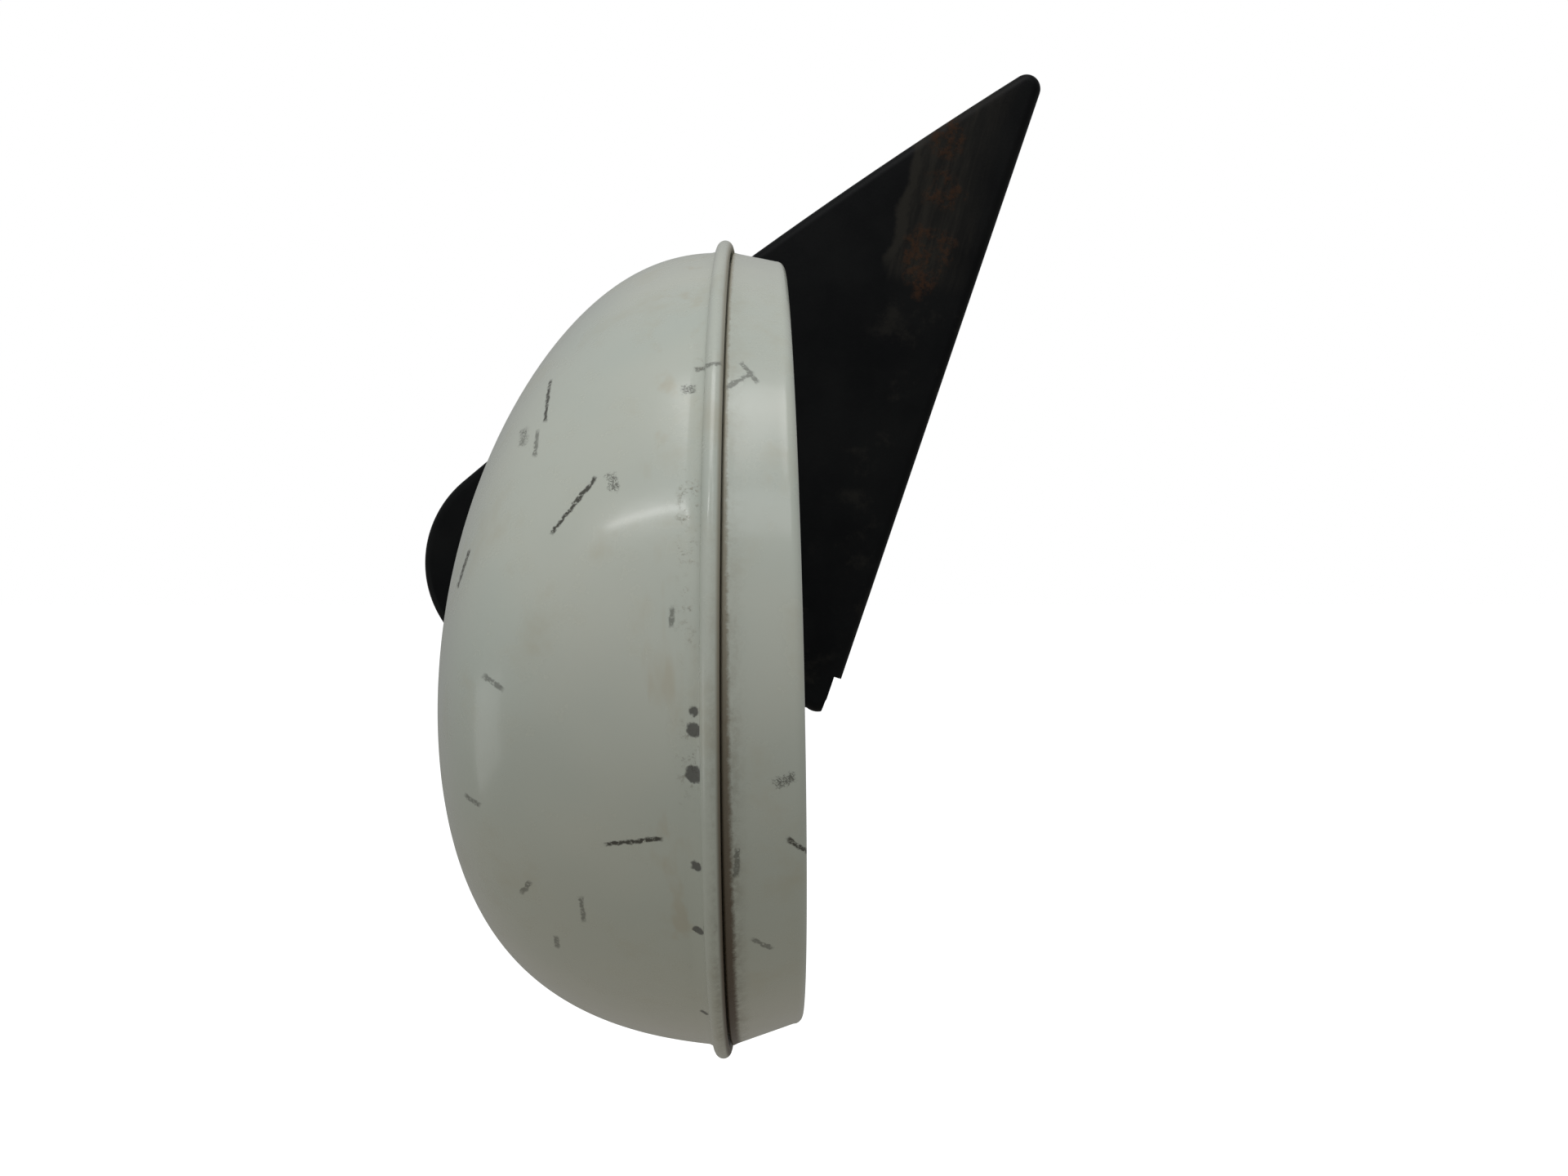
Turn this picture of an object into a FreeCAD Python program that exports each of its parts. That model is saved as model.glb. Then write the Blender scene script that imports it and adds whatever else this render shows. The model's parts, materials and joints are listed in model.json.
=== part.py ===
import FreeCAD, Part
import math
import os
import re
import Sketcher
from FreeCAD import Placement, Rotation, Vector

# Left-hand car door mirror: an oval pressed-steel head on a ball joint, a folding arm,
# and a triangular sail that bolts to the door in front of the side window.
# Frame: +X rearwards (the way the glass faces), +Y inboard, +Z up.
# Origin: centre of the door studs' circle, on the sail's back face.

DOC = FreeCAD.newDocument("door_mirror")

# ---------------------------------------------------------------- driving dimensions (mm)

SIZES = {
    # Head: an ellipse at the bead, with the dome bulging forwards from it.
    "head_x": -3.8,
    "half_width": 95.0,
    "half_height": 70.0,
    "inboard_side": 46.0,
    "head_y": "=-inboard_side - half_width",
    "head_z": -45.0,
    "dome_depth": 44.6,
    "side_power": 6.8,
    "top_power": 2.28,
    "top_round": 0.64,
    "bottom_power": 2.46,
    "bottom_round": 0.3,
    "dome_rise": 2.1,
    "dome_lean": 7.2,
    "shell_wall": 1.2,
    "bead_radius": 1.2,
    "bead_stand": 0.8,
    # Rim ring behind the bead, a little deeper at the bottom than at the top.
    "groove_gap": 0.1,
    "groove_depth": 0.9,
    "collar_depth": 11.3,
    "rim_tilt": 1.3,
    "rim_narrow": 1.8,
    "rim_lower": 2.4,
    "rim_rise": 1.0,
    "rim_round": 1.5,
    "ring_wall": 2.7,
    "lip_inset": 2.8,
    "spigot_length": 3.0,
    "spigot_gap": 0.5,
    "plate_gap": 0.9,
    # Glass with its seal, pad and backing plate.
    "glass_rise": 0.5,
    "glass_thick": 3.0,
    "glass_front": -0.5,
    "seal_gap": 0.2,
    "seal_play": 0.1,
    "seal_edge": 1.6,
    "seal_lip": 1.5,
    "backing_thick": 1.5,
    # Ball joint inside the head.
    "ball_x": -24.0,
    "ball_y": -72.0,
    "ball_radius": 9.0,
    "ball_gap": 0.08,
    "liner_thick": 2.1,
    "liner_in": 6.0,
    "liner_out": 7.0,
    "cup_wall": 2.0,
    "cup_reach": 7.0,
    "clamp_half_gap": 1.0,
    "clamp_plate": 2.0,
    "clamp_width": 29.0,
    "clamp_height": 40.0,
    "clamp_corner": 4.0,
    "clamp_x": 9.0,
    "clamp_above": 5.5,
    "clamp_z": "=ball_radius + clamp_above",
    "clamp_screw": 2.0,
    "clamp_hole": 2.2,
    "clamp_head": 3.5,
    "clamp_head_high": 3.0,
    "spring_mean": 2.9,
    "spring_wire": 0.5,
    "spring_long": 8.0,
    "spring_turns": 4.0,
    "clamp_nut_flats": 7.0,
    "clamp_nut_high": 3.2,
    "clamp_tail": 2.0,
    "bracket_thick": 2.0,
    "bracket_reach": 44.0,
    "bracket_screw_y": 18.0,
    "bracket_screw_step": 18.0,
    "bracket_screw_z": 14.0,
    "cup_clear": 0.7,
    # Arm between the ball and the fold pivot.
    "pivot_y": -30.0,
    "barrel_radius": 9.0,
    "barrel_half": 8.0,
    "bush_radius": 6.5,
    "stem_root": 7.5,
    "stem_radius": 7.0,
    "stem_end": 18.0,
    "neck_radius": 4.5,
    "collar_radius": 6.5,
    "collar_long": 2.0,
    "spigot_radius": 4.0,
    "spigot_deep": 12.0,
    "lock_screw": 2.0,
    "lock_from_end": 5.0,
    "lock_sunk": 0.5,
    "swing": 10.0,
    "slot_clear": 1.0,
    # Fold pivot.
    "pin_radius": 5.0,
    "pin_gap": 0.05,
    "pin_head": 7.5,
    "pin_head_high": 4.0,
    "face_gap": 0.2,
    "washer_thick": 1.0,
    "washer_radius": 8.8,
    "disc_rise": 0.9,
    "disc_edge": 1.4,
    "disc_gap": 0.3,
    "nut_flats": 17.0,
    "nut_high": 7.0,
    "pin_tail": 2.0,
    # Foot on the sail.
    "lug_thick": 6.0,
    "lug_radius": 10.0,
    "lug_root": 17.0,
    "foot_thick": 5.0,
    "foot_width": 48.0,
    "foot_top": -15.0,
    "foot_corner": 8.0,
    "foot_screw": 2.5,
    "foot_hole": 2.8,
    "foot_head": 4.5,
    "foot_head_high": 3.0,
    "foot_screw_edge": 6.5,
    "foot_screw_tail": 1.0,
    "hex_share": 0.6,
    # Sail: three round corners joined by tangent edges.
    "nose_x": -65.0,
    "nose_z": -27.7,
    "nose_radius": 31.0,
    "apex_x": 79.4,
    "apex_z": 111.2,
    "apex_radius": 4.2,
    "corner_x": 18.3,
    "corner_z": -66.2,
    "corner_radius": 5.0,
    "front_radius": 1450.0,
    "sail_deep": 12.0,
    "sail_wall": 1.5,
    "sail_roll": 3.0,
    "skirt_gap": 0.5,
    "plate_inset": 2.2,
    "plate_web": 3.0,
    "plate_rim": 1.2,
    "gasket_thick": 2.0,
    "notch_deep": 2.5,
    "notch_long": 22.0,
    "notch_top": 6.6,
    # Door studs.
    "stud_circle": 76.0,
    "stud_angle": 54.5,
    "stud_radius": 3.0,
    "stud_long": 18.0,
    "stud_weld": 5.5,
    "stud_weld_high": 1.5,
    "stud_gap": 1.4,
}

STUDS = 3
DISCS = 4
SIDES = (-1, 1)

sheet = DOC.addObject("Spreadsheet::Sheet", "Sizes")
for line, (alias, value) in enumerate(SIZES.items(), start=1):
    sheet.set(f"A{line}", alias)
    sheet.set(f"B{line}", str(value))
    sheet.setAlias(f"B{line}", alias)
DOC.recompute()

# ---------------------------------------------------------------- small helpers

ALONG_X = Rotation(Vector(0, 1, 0), 90)
ALONG_Y = Rotation(Vector(1, 0, 0), -90)
ALONG_Z = Rotation()
FACING_X = Rotation(Vector(1, 1, 1), 120)
FACING_OUT = Rotation(Vector(1, 0, 0), 90)

NODES = []


def size(alias):
    """Value of one cell of the sheet."""
    return float(sheet.get(alias))


def tie(text):
    """Turn a formula in the sheet's aliases into an expression."""
    def name(word):
        return f"Sizes.{word.group()}" if word.group() in SIZES else word.group()

    return re.sub(r"[a-z_]+", name, str(text))


def bind(item, **formulas):
    """Bind properties of an object to formulas in the sheet's aliases."""
    for name, formula in formulas.items():
        item.setExpression(name, tie(formula))
    return item


def place(item, spot, turn=ALONG_Z):
    """Turn an object and bind its position to three formulas."""
    item.Placement = Placement(Vector(), turn)
    for axis, formula in zip("xyz", spot):
        item.setExpression(f"Placement.Base.{axis}", tie(formula))
    return item


def cylinder(name, radius, length, spot, turn=ALONG_Z):
    item = DOC.addObject("Part::Cylinder", name)
    return place(bind(item, Radius=radius, Height=length), spot, turn)


def cone(name, radius, end_radius, length, spot, turn=ALONG_Z):
    item = DOC.addObject("Part::Cone", name)
    return place(bind(item, Radius1=radius, Radius2=end_radius, Height=length), spot, turn)


def box(name, sides, spot):
    item = DOC.addObject("Part::Box", name)
    return place(bind(item, Length=sides[0], Width=sides[1], Height=sides[2]), spot)


def sphere(name, radius, spot):
    item = DOC.addObject("Part::Sphere", name)
    return place(bind(item, Radius=radius), spot)


def hexagon(name, flats, length, spot, turn=ALONG_Z):
    item = DOC.addObject("Part::Prism", name)
    item.Polygon = 6
    return place(bind(item, Circumradius=f"({flats}) / sqrt(3)", Height=length), spot, turn)


def ellipse(name, half_y, half_z, spot, turn=FACING_X):
    """An upright ellipse across the X axis, long along Y."""
    item = DOC.addObject("Part::Ellipse", name)
    return place(bind(item, MajorRadius=half_y, MinorRadius=half_z), spot, turn)


def loft(name, sections, ruled=False):
    item = DOC.addObject("Part::Loft", name)
    item.Sections = sections
    item.Solid = True
    item.Ruled = ruled
    return item


def oval_plate(name, half_y, half_z, front, back, rise):
    """An elliptical plate across the X axis between two places along it."""
    ends = []
    for end, x in (("front", front), ("back", back)):
        ends.append(ellipse(f"{name}_{end}", half_y, half_z, (x, "head_y", f"head_z + {rise}")))
    return loft(name, ends, ruled=True)


def group(name, *items):
    item = DOC.addObject("Part::Compound", name)
    item.Links = list(items)
    return item


def fuse(name, *items):
    item = DOC.addObject("Part::MultiFuse", name)
    item.Shapes = list(items)
    return item


def cut(name, base, *tools):
    item = DOC.addObject("Part::Cut", name)
    item.Base = base
    item.Tool = tools[0] if len(tools) == 1 else group(f"{name}_tools", *tools)
    return item


def common(name, base, tool):
    item = DOC.addObject("Part::Common", name)
    item.Base = base
    item.Tool = tool
    return item


def node(name, item):
    """Name the object that is one sub-part of the mirror."""
    item.Label = name
    NODES.append(item)
    return item


def extrude(name, sketch, length):
    """Extrude a sketch along its own normal."""
    item = DOC.addObject("Part::Extrusion", name)
    item.Base = sketch
    item.DirMode = "Normal"
    item.Solid = True
    return bind(item, LengthFwd=length)


def name_size(sketch, alias, formula, kind, *where):
    """Add a dimension to a sketch and bind it to a formula."""
    value = sketch.evalExpression(tie(formula))
    index = sketch.addConstraint(Sketcher.Constraint(kind, *where, float(value)))
    sketch.renameConstraint(index, alias)
    sketch.setExpression(f"Constraints.{alias}", tie(formula))


def screw(name, shank, long, head, head_high, spot, turn):
    """Socket-head screw whose head seats at spot and whose shank runs along the turn's own Z."""
    axis = turn.multVec(Vector(0, 0, 1))
    top = [f"{start} - ({step:.0f}) * ({head_high})" for start, step in zip(spot, axis)]
    blank = fuse(
        f"{name}_blank",
        cylinder(f"{name}_shank", shank, long, spot, turn),
        cylinder(f"{name}_head", head, head_high, top, turn),
    )
    key = hexagon(f"{name}_key", f"hex_share * ({head}) * 2", f"({head_high}) / 2", top, turn)
    return cut(name, blank, key)


def row(name, radius, length, spots, turn):
    """One cylinder at each spot."""
    return [cylinder(f"{name}_{index}", radius, length, spot, turn) for index, spot in enumerate(spots)]


# ---------------------------------------------------------------- sail outline

def round_corners(inset):
    """The outline's three round corners, each as x, z and a radius less the inset."""
    nose = (size("nose_x"), size("nose_z"), size("nose_radius") - inset)
    apex = (size("apex_x"), size("apex_z"), size("apex_radius") - inset)
    corner = (size("corner_x"), size("corner_z"), size("corner_radius") - inset)
    return nose, apex, corner


def outer_tangent(first, second):
    """Angle of the outward normal of the straight edge from the first corner to the second."""
    along_x = second[0] - first[0]
    along_z = second[1] - first[1]
    apart = math.hypot(along_x, along_z)
    return math.atan2(along_z, along_x) - math.pi / 2 + math.asin((second[2] - first[2]) / apart)


def arc_centre(first, second, radius):
    """Centre of a large arc that touches both corners from outside."""
    reach_first = radius - first[2]
    reach_second = radius - second[2]
    along_x = second[0] - first[0]
    along_z = second[1] - first[1]
    apart = math.hypot(along_x, along_z)
    along = (reach_first ** 2 - reach_second ** 2 + apart ** 2) / (2 * apart)
    aside = math.sqrt(reach_first ** 2 - along ** 2)
    x = first[0] + (along * along_x + aside * along_z) / apart
    z = first[1] + (along * along_z - aside * along_x) / apart
    return x, z, radius


def towards(centre, corner):
    return math.atan2(corner[1] - centre[1], corner[0] - centre[0])


def sail_outline(name, inset, y):
    """Closed sketch of the sail's outline, moved inwards by inset."""
    moved = float(sheet.evalExpression(str(tie(inset))))
    nose, apex, corner = round_corners(moved)
    front = arc_centre(nose, apex, size("front_radius") - moved)
    bottom_angle = outer_tangent(nose, corner)
    rear_angle = outer_tangent(corner, apex)
    arcs = (
        (nose, towards(front, nose), bottom_angle),
        (apex, rear_angle, towards(front, apex)),
        (corner, bottom_angle, rear_angle),
        (front, towards(front, apex), towards(front, nose)),
    )

    sketch = place(DOC.addObject("Sketcher::SketchObject", name), ("0", y, "0"), FACING_OUT)
    for (x, z, radius), start, end in arcs:
        circle = Part.Circle(Vector(x, z, 0), Vector(0, 0, 1), radius)
        sketch.addGeometry(Part.ArcOfCircle(circle, start, end), False)

    def touch(round_corner, angle):
        x, z, radius = round_corner
        return Vector(x + radius * math.cos(angle), z + radius * math.sin(angle), 0)

    sketch.addGeometry(Part.LineSegment(touch(nose, bottom_angle), touch(corner, bottom_angle)), False)
    sketch.addGeometry(Part.LineSegment(touch(corner, rear_angle), touch(apex, rear_angle)), False)

    joins = ((3, 2, 0, 1), (0, 2, 4, 1), (4, 2, 2, 1), (2, 2, 5, 1), (5, 2, 1, 1), (1, 2, 3, 1))
    for join in joins:
        sketch.addConstraint(Sketcher.Constraint("Tangent", *join))
    for index, corner_name in enumerate(("nose", "apex", "corner", "front")):
        name_size(sketch, f"{corner_name}_r", f"{corner_name}_radius - {inset}", "Radius", index)
    for index, corner_name in enumerate(("nose", "apex", "corner")):
        name_size(sketch, f"{corner_name}_along", f"{corner_name}_x", "DistanceX", index, 3)
        name_size(sketch, f"{corner_name}_up", f"{corner_name}_z", "DistanceY", index, 3)
    return sketch


def rounded_outline(name, wide, high, corner, spot, turn):
    """Closed sketch of a rectangle with round corners, centred on spot."""
    half_wide = float(sheet.evalExpression(tie(wide))) / 2
    half_high = float(sheet.evalExpression(tie(high))) / 2
    radius = float(sheet.evalExpression(tie(corner)))
    sketch = place(DOC.addObject("Sketcher::SketchObject", name), spot, turn)
    for quarter, (side_x, side_y) in enumerate(((1, 1), (-1, 1), (-1, -1), (1, -1))):
        middle = Vector(side_x * (half_wide - radius), side_y * (half_high - radius), 0)
        circle = Part.Circle(middle, Vector(0, 0, 1), radius)
        start = quarter * math.pi / 2
        sketch.addGeometry(Part.ArcOfCircle(circle, start, start + math.pi / 2), False)
    for quarter in range(4):
        start = sketch.getPoint(quarter, 2)
        end = sketch.getPoint((quarter + 1) % 4, 1)
        line = sketch.addGeometry(Part.LineSegment(start, end), False)
        sketch.addConstraint(Sketcher.Constraint("Tangent", quarter, 2, line, 1))
        sketch.addConstraint(Sketcher.Constraint("Tangent", line, 2, (quarter + 1) % 4, 1))
    for line, direction in ((4, "Horizontal"), (5, "Vertical"), (6, "Horizontal"), (7, "Vertical")):
        sketch.addConstraint(Sketcher.Constraint(direction, line))
    for quarter in (1, 2, 3):
        sketch.addConstraint(Sketcher.Constraint("Equal", 0, quarter))
    sketch.addConstraint(Sketcher.Constraint("Symmetric", 0, 3, 2, 3, -1, 1))
    name_size(sketch, "corner", corner, "Radius", 0)
    name_size(sketch, "across", f"({wide}) - 2 * ({corner})", "DistanceX", 1, 3, 0, 3)
    name_size(sketch, "upright", f"({high}) - 2 * ({corner})", "DistanceY", 3, 3, 0, 3)
    return sketch


# ---------------------------------------------------------------- places worked out from the sizes

FACE = "-sail_deep"
PLATE_FACE = "(-sail_deep + sail_wall)"
FOOT_FACE = "(-sail_deep - foot_thick)"
BALL = ("ball_x", "ball_y", "head_z")
BARREL_TOP = "(head_z + barrel_half)"
BARREL_LOW = "(head_z - barrel_half)"
LUG_TOP = f"({BARREL_LOW} - face_gap)"
LUG_LOW = f"({LUG_TOP} - lug_thick)"
WASHER_LOW = f"({BARREL_TOP} + face_gap)"
DISC_LOW = f"({WASHER_LOW} + washer_thick)"
WASHER_HIGH = f"({DISC_LOW} + {DISCS} * disc_rise)"
NUT_LOW = f"({WASHER_HIGH} + washer_thick)"
FOOT_HIGH = f"(foot_top - {LUG_LOW})"
FOOT_MIDDLE = f"(foot_top + {LUG_LOW}) / 2"
LINER_RADIUS = "(ball_radius + ball_gap + liner_thick)"
CUP_INNER = f"({LINER_RADIUS} + ball_gap)"
CUP_OUTER = f"({CUP_INNER} + cup_wall)"
STEM_TIP = "(ball_y + stem_end)"
BACKING_BACK = "(head_x + bead_radius + groove_gap - spigot_length)"
BACKING_FRONT = f"({BACKING_BACK} - backing_thick)"
BRACKET_FRONT = f"({BACKING_FRONT} - bracket_thick)"
RING_FRONT = "(head_x + bead_radius + groove_gap)"
SEAL_FRONT = "(glass_front - seal_lip)"
SEAL_BACK = "(glass_front + glass_thick + seal_lip)"
GLASS_Y = "(half_width - ring_wall - seal_gap - seal_edge)"
GLASS_Z = "(half_height - ring_wall - glass_rise - seal_gap - seal_edge)"
CLAMP_HEAD_Y = "ball_y + clamp_half_gap + clamp_plate + bracket_thick"
SPRING_HIGH = "ball_y - clamp_half_gap - clamp_plate"
COIL_HIGH = "(spring_long - 2 * spring_wire)"
FOOT_SCREWS = [
    (f"ball_x + ({side}) * (foot_width / 2 - foot_screw_edge)", FOOT_FACE, z)
    for side in SIDES
    for z in ("foot_top - foot_screw_edge", f"{LUG_TOP} + foot_screw_edge")
]
CLAMPS = [
    (f"ball_x + ({side_x}) * clamp_x", f"head_z + ({side_z}) * clamp_z")
    for side_x in SIDES
    for side_z in SIDES
]
STUD_SPOTS = [
    (f"cos(stud_angle + {turn}) * stud_circle / 2", f"sin(stud_angle + {turn}) * stud_circle / 2")
    for turn in range(0, 360, 360 // STUDS)
]

# ---------------------------------------------------------------- sail: cover, plate, gasket, studs


def sail_cover():
    """Pressed steel cover with a rolled edge, open at the back."""
    outside = sail_outline("cover_outline", "0", "-skirt_gap")
    block = extrude("cover_block", outside, "sail_deep - skirt_gap")
    inside = sail_outline("cover_inner", "sail_wall", "0")
    hollow = extrude("cover_hollow", inside, "sail_deep - sail_wall")
    DOC.recompute()
    rolled = DOC.addObject("Part::Fillet", "cover_rolled")
    rolled.Base = block
    rolled.Edges = face_edges(block, -size("sail_deep"), size("sail_roll"))
    spots = [(x, "-sail_deep - sail_wall / 2", z) for x, y, z in FOOT_SCREWS]
    holes = row("cover_hole", "foot_hole", "2 * sail_wall", spots, ALONG_Y)
    return cut("sail_cover_solid", rolled, hollow, rear_notch(), *holes)


def face_edges(item, y, radius):
    """Fillet entries for every edge of an object that lies in the plane at y."""
    edges = []
    for index, edge in enumerate(item.Shape.Edges, start=1):
        if all(abs(vertex.Point.y - y) < 0.001 for vertex in edge.Vertexes):
            edges.append((index, radius, radius))
    return edges


def rear_notch():
    """Corner cut where the cover's rear skirt stops short and the plate behind it shows."""
    nose, apex, corner = round_corners(0)
    normal = outer_tangent(corner, apex)
    notch = DOC.addObject("Part::Box", "cover_notch")
    bind(notch, Length="2 * notch_deep", Width="2 * sail_deep", Height="notch_long")
    reach = corner[2] - size("notch_deep")
    edge = Vector(corner[0] + reach * math.cos(normal), 0, corner[1] + reach * math.sin(normal))
    turn = Rotation(Vector(0, 1, 0), -math.degrees(normal))
    start = Vector(0, -1.5 * size("sail_deep"), size("notch_top") - size("notch_long"))
    notch.Placement = Placement(edge + turn.multVec(start), turn)
    return notch


def sail_plate():
    """Stiff base plate inside the cover: a web against the cover's face and a rim down to the gasket."""
    block = extrude(
        "plate_block",
        sail_outline("plate_outline", "plate_inset", "-gasket_thick"),
        "sail_deep - sail_wall - gasket_thick",
    )
    recess = extrude(
        "plate_recess",
        sail_outline("plate_inner", "(plate_inset + plate_rim)", "0"),
        "sail_deep - sail_wall - plate_web",
    )
    spots = [(x, "-sail_deep", z) for x, y, z in FOOT_SCREWS]
    holes = row("plate_hole", "foot_screw", "sail_deep", spots, ALONG_Y)
    return cut("sail_plate_solid", block, recess, *holes)


def sail_gasket():
    """Flat rubber gasket between the plate and the door skin, with room round each stud for a collar."""
    blank = extrude("gasket_blank", sail_outline("gasket_outline", "plate_inset", "0"), "gasket_thick")
    spots = [(x, "-2 * gasket_thick", z) for x, z in STUD_SPOTS]
    holes = row("gasket_hole", "stud_radius + stud_gap", "3 * gasket_thick", spots, ALONG_Y)
    return cut("sail_gasket_solid", blank, *holes)


def door_studs():
    """Three weld studs on one circle, standing out of the plate towards the door."""
    spots = [(x, f"{PLATE_FACE} + plate_web", z) for x, z in STUD_SPOTS]
    welds = row("stud_weld", "stud_weld", "stud_weld_high", spots, ALONG_Y)
    shanks = row("stud_shank", "stud_radius", "stud_long + sail_deep - sail_wall - plate_web", spots, ALONG_Y)
    studs = [fuse(f"stud_{index}", *pair) for index, pair in enumerate(zip(welds, shanks))]
    return group("door_studs_group", *studs)


# ---------------------------------------------------------------- foot and fold pivot


def foot():
    """Cast foot: a flange on the sail's face and a lug under the arm's barrel."""
    spot = ("ball_x", FACE, FOOT_MIDDLE)
    outline = rounded_outline("foot_outline", "foot_width", FOOT_HIGH, "foot_corner", spot, FACING_OUT)
    flange = extrude("foot_flange", outline, "foot_thick")
    spots = [(x, f"{FOOT_FACE} - foot_thick", z) for x, y, z in FOOT_SCREWS]
    holes = row("foot_hole", "foot_hole", "3 * foot_thick", spots, ALONG_Y)
    low = ("ball_x", "pivot_y", f"{LUG_LOW} - lug_thick")
    bore = cylinder("lug_bore", "pin_radius", "3 * lug_thick", low)
    return cut("foot_solid", fuse("foot_casting", flange, lug_plate()), bore, *holes)


def lug_plate():
    """Lug that narrows from the flange to a round end about the pivot."""
    root = size("lug_root")
    reach = -size("sail_deep") - size("pivot_y")
    radius = size("lug_radius")
    lean = math.atan2(root, reach)
    touch = lean + math.acos(radius / math.hypot(root, reach)) - math.pi / 2
    sketch = place(DOC.addObject("Sketcher::SketchObject", "lug_outline"), ("ball_x", "pivot_y", LUG_LOW))
    circle = Part.Circle(Vector(), Vector(0, 0, 1), radius)
    sketch.addGeometry(Part.ArcOfCircle(circle, math.pi - touch, 2 * math.pi + touch), False)
    right = Vector(radius * math.cos(touch), radius * math.sin(touch), 0)
    left = Vector(-right.x, right.y, 0)
    corner_right = Vector(root, reach, 0)
    corner_left = Vector(-root, reach, 0)
    sketch.addGeometry(Part.LineSegment(right, corner_right), False)
    sketch.addGeometry(Part.LineSegment(corner_right, corner_left), False)
    sketch.addGeometry(Part.LineSegment(corner_left, left), False)
    sketch.addConstraint(Sketcher.Constraint("Tangent", 0, 2, 1, 1))
    sketch.addConstraint(Sketcher.Constraint("Coincident", 1, 2, 2, 1))
    sketch.addConstraint(Sketcher.Constraint("Coincident", 2, 2, 3, 1))
    sketch.addConstraint(Sketcher.Constraint("Tangent", 3, 2, 0, 1))
    sketch.addConstraint(Sketcher.Constraint("Coincident", 0, 3, -1, 1))
    sketch.addConstraint(Sketcher.Constraint("Symmetric", 1, 2, 2, 2, -2))
    name_size(sketch, "end", "lug_radius", "Radius", 0)
    name_size(sketch, "root", "2 * lug_root", "DistanceX", 2, 2, 1, 2)
    name_size(sketch, "reach", "-sail_deep - pivot_y", "DistanceY", 0, 3, 1, 2)
    return extrude("foot_lug", sketch, "lug_thick")


def foot_screws():
    """Screws through the foot and the cover into the plate."""
    long = "foot_thick + sail_wall + plate_web + foot_screw_tail"
    screws = [
        screw(f"foot_screw_{index}", "foot_screw", long, "foot_head", "foot_head_high", spot, ALONG_Y)
        for index, spot in enumerate(FOOT_SCREWS)
    ]
    return group("foot_screws_group", *screws)


def pivot_pin():
    """Bolt of the fold pivot, with its head under the lug."""
    long = f"{NUT_LOW} + nut_high + pin_tail - {LUG_LOW}"
    spot = ("ball_x", "pivot_y", LUG_LOW)
    return screw("pivot_pin_solid", "pin_radius", long, "pin_head", "pin_head_high", spot, ALONG_Z)


def pivot_washers():
    """Flat washers below and above the disc springs."""
    washers = []
    for index, low in enumerate((WASHER_LOW, WASHER_HIGH)):
        spot = ("ball_x", "pivot_y", low)
        blank = cylinder(f"washer_blank_{index}", "washer_radius", "washer_thick", spot)
        hole = cylinder(f"washer_hole_{index}", "pin_radius + 2 * pin_gap", "washer_thick", spot)
        washers.append(cut(f"washer_{index}", blank, hole))
    return group("pivot_washers_group", *washers)


def disc_springs():
    """Four conical disc springs round the pin, turned edge to edge in pairs."""
    wide = "washer_radius"
    narrow = "(pin_radius + disc_gap + disc_edge)"
    discs = []
    for index in range(DISCS):
        low_radius, high_radius = (wide, narrow) if index % 2 else (narrow, wide)
        spot = ("ball_x", "pivot_y", f"{DISC_LOW} + {index} * disc_rise")
        blank = cone(f"disc_blank_{index}", low_radius, high_radius, "disc_rise", spot)
        inside = (f"{low_radius} - disc_edge", f"{high_radius} - disc_edge")
        discs.append(cut(f"disc_{index}", blank, cone(f"disc_bore_{index}", *inside, "disc_rise", spot)))
    return group("disc_springs_group", *discs)


def pivot_nut():
    """Hexagon nut that sets the fold pivot's friction."""
    spot = ("ball_x", "pivot_y", NUT_LOW)
    body = hexagon("pivot_nut_body", "nut_flats", "nut_high", spot)
    return cut("pivot_nut_solid", body, cylinder("pivot_nut_bore", "pin_radius", "nut_high", spot))


# ---------------------------------------------------------------- arm, bush and ball stud


def arm():
    """Cast arm: a barrel on the pivot and a tapered stem towards the ball."""
    low = ("ball_x", "pivot_y", BARREL_LOW)
    tip = ("ball_x", STEM_TIP, "head_z")
    barrel = cylinder("arm_barrel", "barrel_radius", "2 * barrel_half", low)
    stem = cone("arm_stem", "stem_radius", "stem_root", f"pivot_y - {STEM_TIP}", tip, ALONG_Y)
    bore = cylinder("arm_bore", "bush_radius", "2 * barrel_half", low)
    socket = cylinder("arm_socket", "spigot_radius", "spigot_deep", tip, ALONG_Y)
    above = ("ball_x", f"{STEM_TIP} + lock_from_end", "head_z + spigot_radius / 2")
    lock = cylinder("arm_lock_hole", "lock_screw", "2 * stem_radius", above)
    return cut("arm_solid", fuse("arm_casting", barrel, stem), bore, socket, lock)


def arm_bush():
    """Plain bush between the arm's barrel and the pivot pin."""
    spot = ("ball_x", "pivot_y", BARREL_LOW)
    blank = cylinder("bush_blank", "bush_radius", "2 * barrel_half", spot)
    bore = cylinder("bush_bore", "pin_radius + pin_gap", "2 * barrel_half", spot)
    return cut("arm_bush_solid", blank, bore)


def ball_stud():
    """Ball on a neck, with a collar on the stem's end and a spigot inside it."""
    ball = sphere("stud_ball", "ball_radius", BALL)
    neck = cylinder("stud_neck", "neck_radius", "stem_end", BALL, ALONG_Y)
    below = ("ball_x", f"{STEM_TIP} - collar_long", "head_z")
    collar = cylinder("stud_collar", "collar_radius", "collar_long", below, ALONG_Y)
    tip = ("ball_x", STEM_TIP, "head_z")
    spigot = cylinder("stud_spigot", "spigot_radius", "spigot_deep", tip, ALONG_Y)
    return fuse("ball_stud_solid", ball, neck, collar, spigot)


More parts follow.
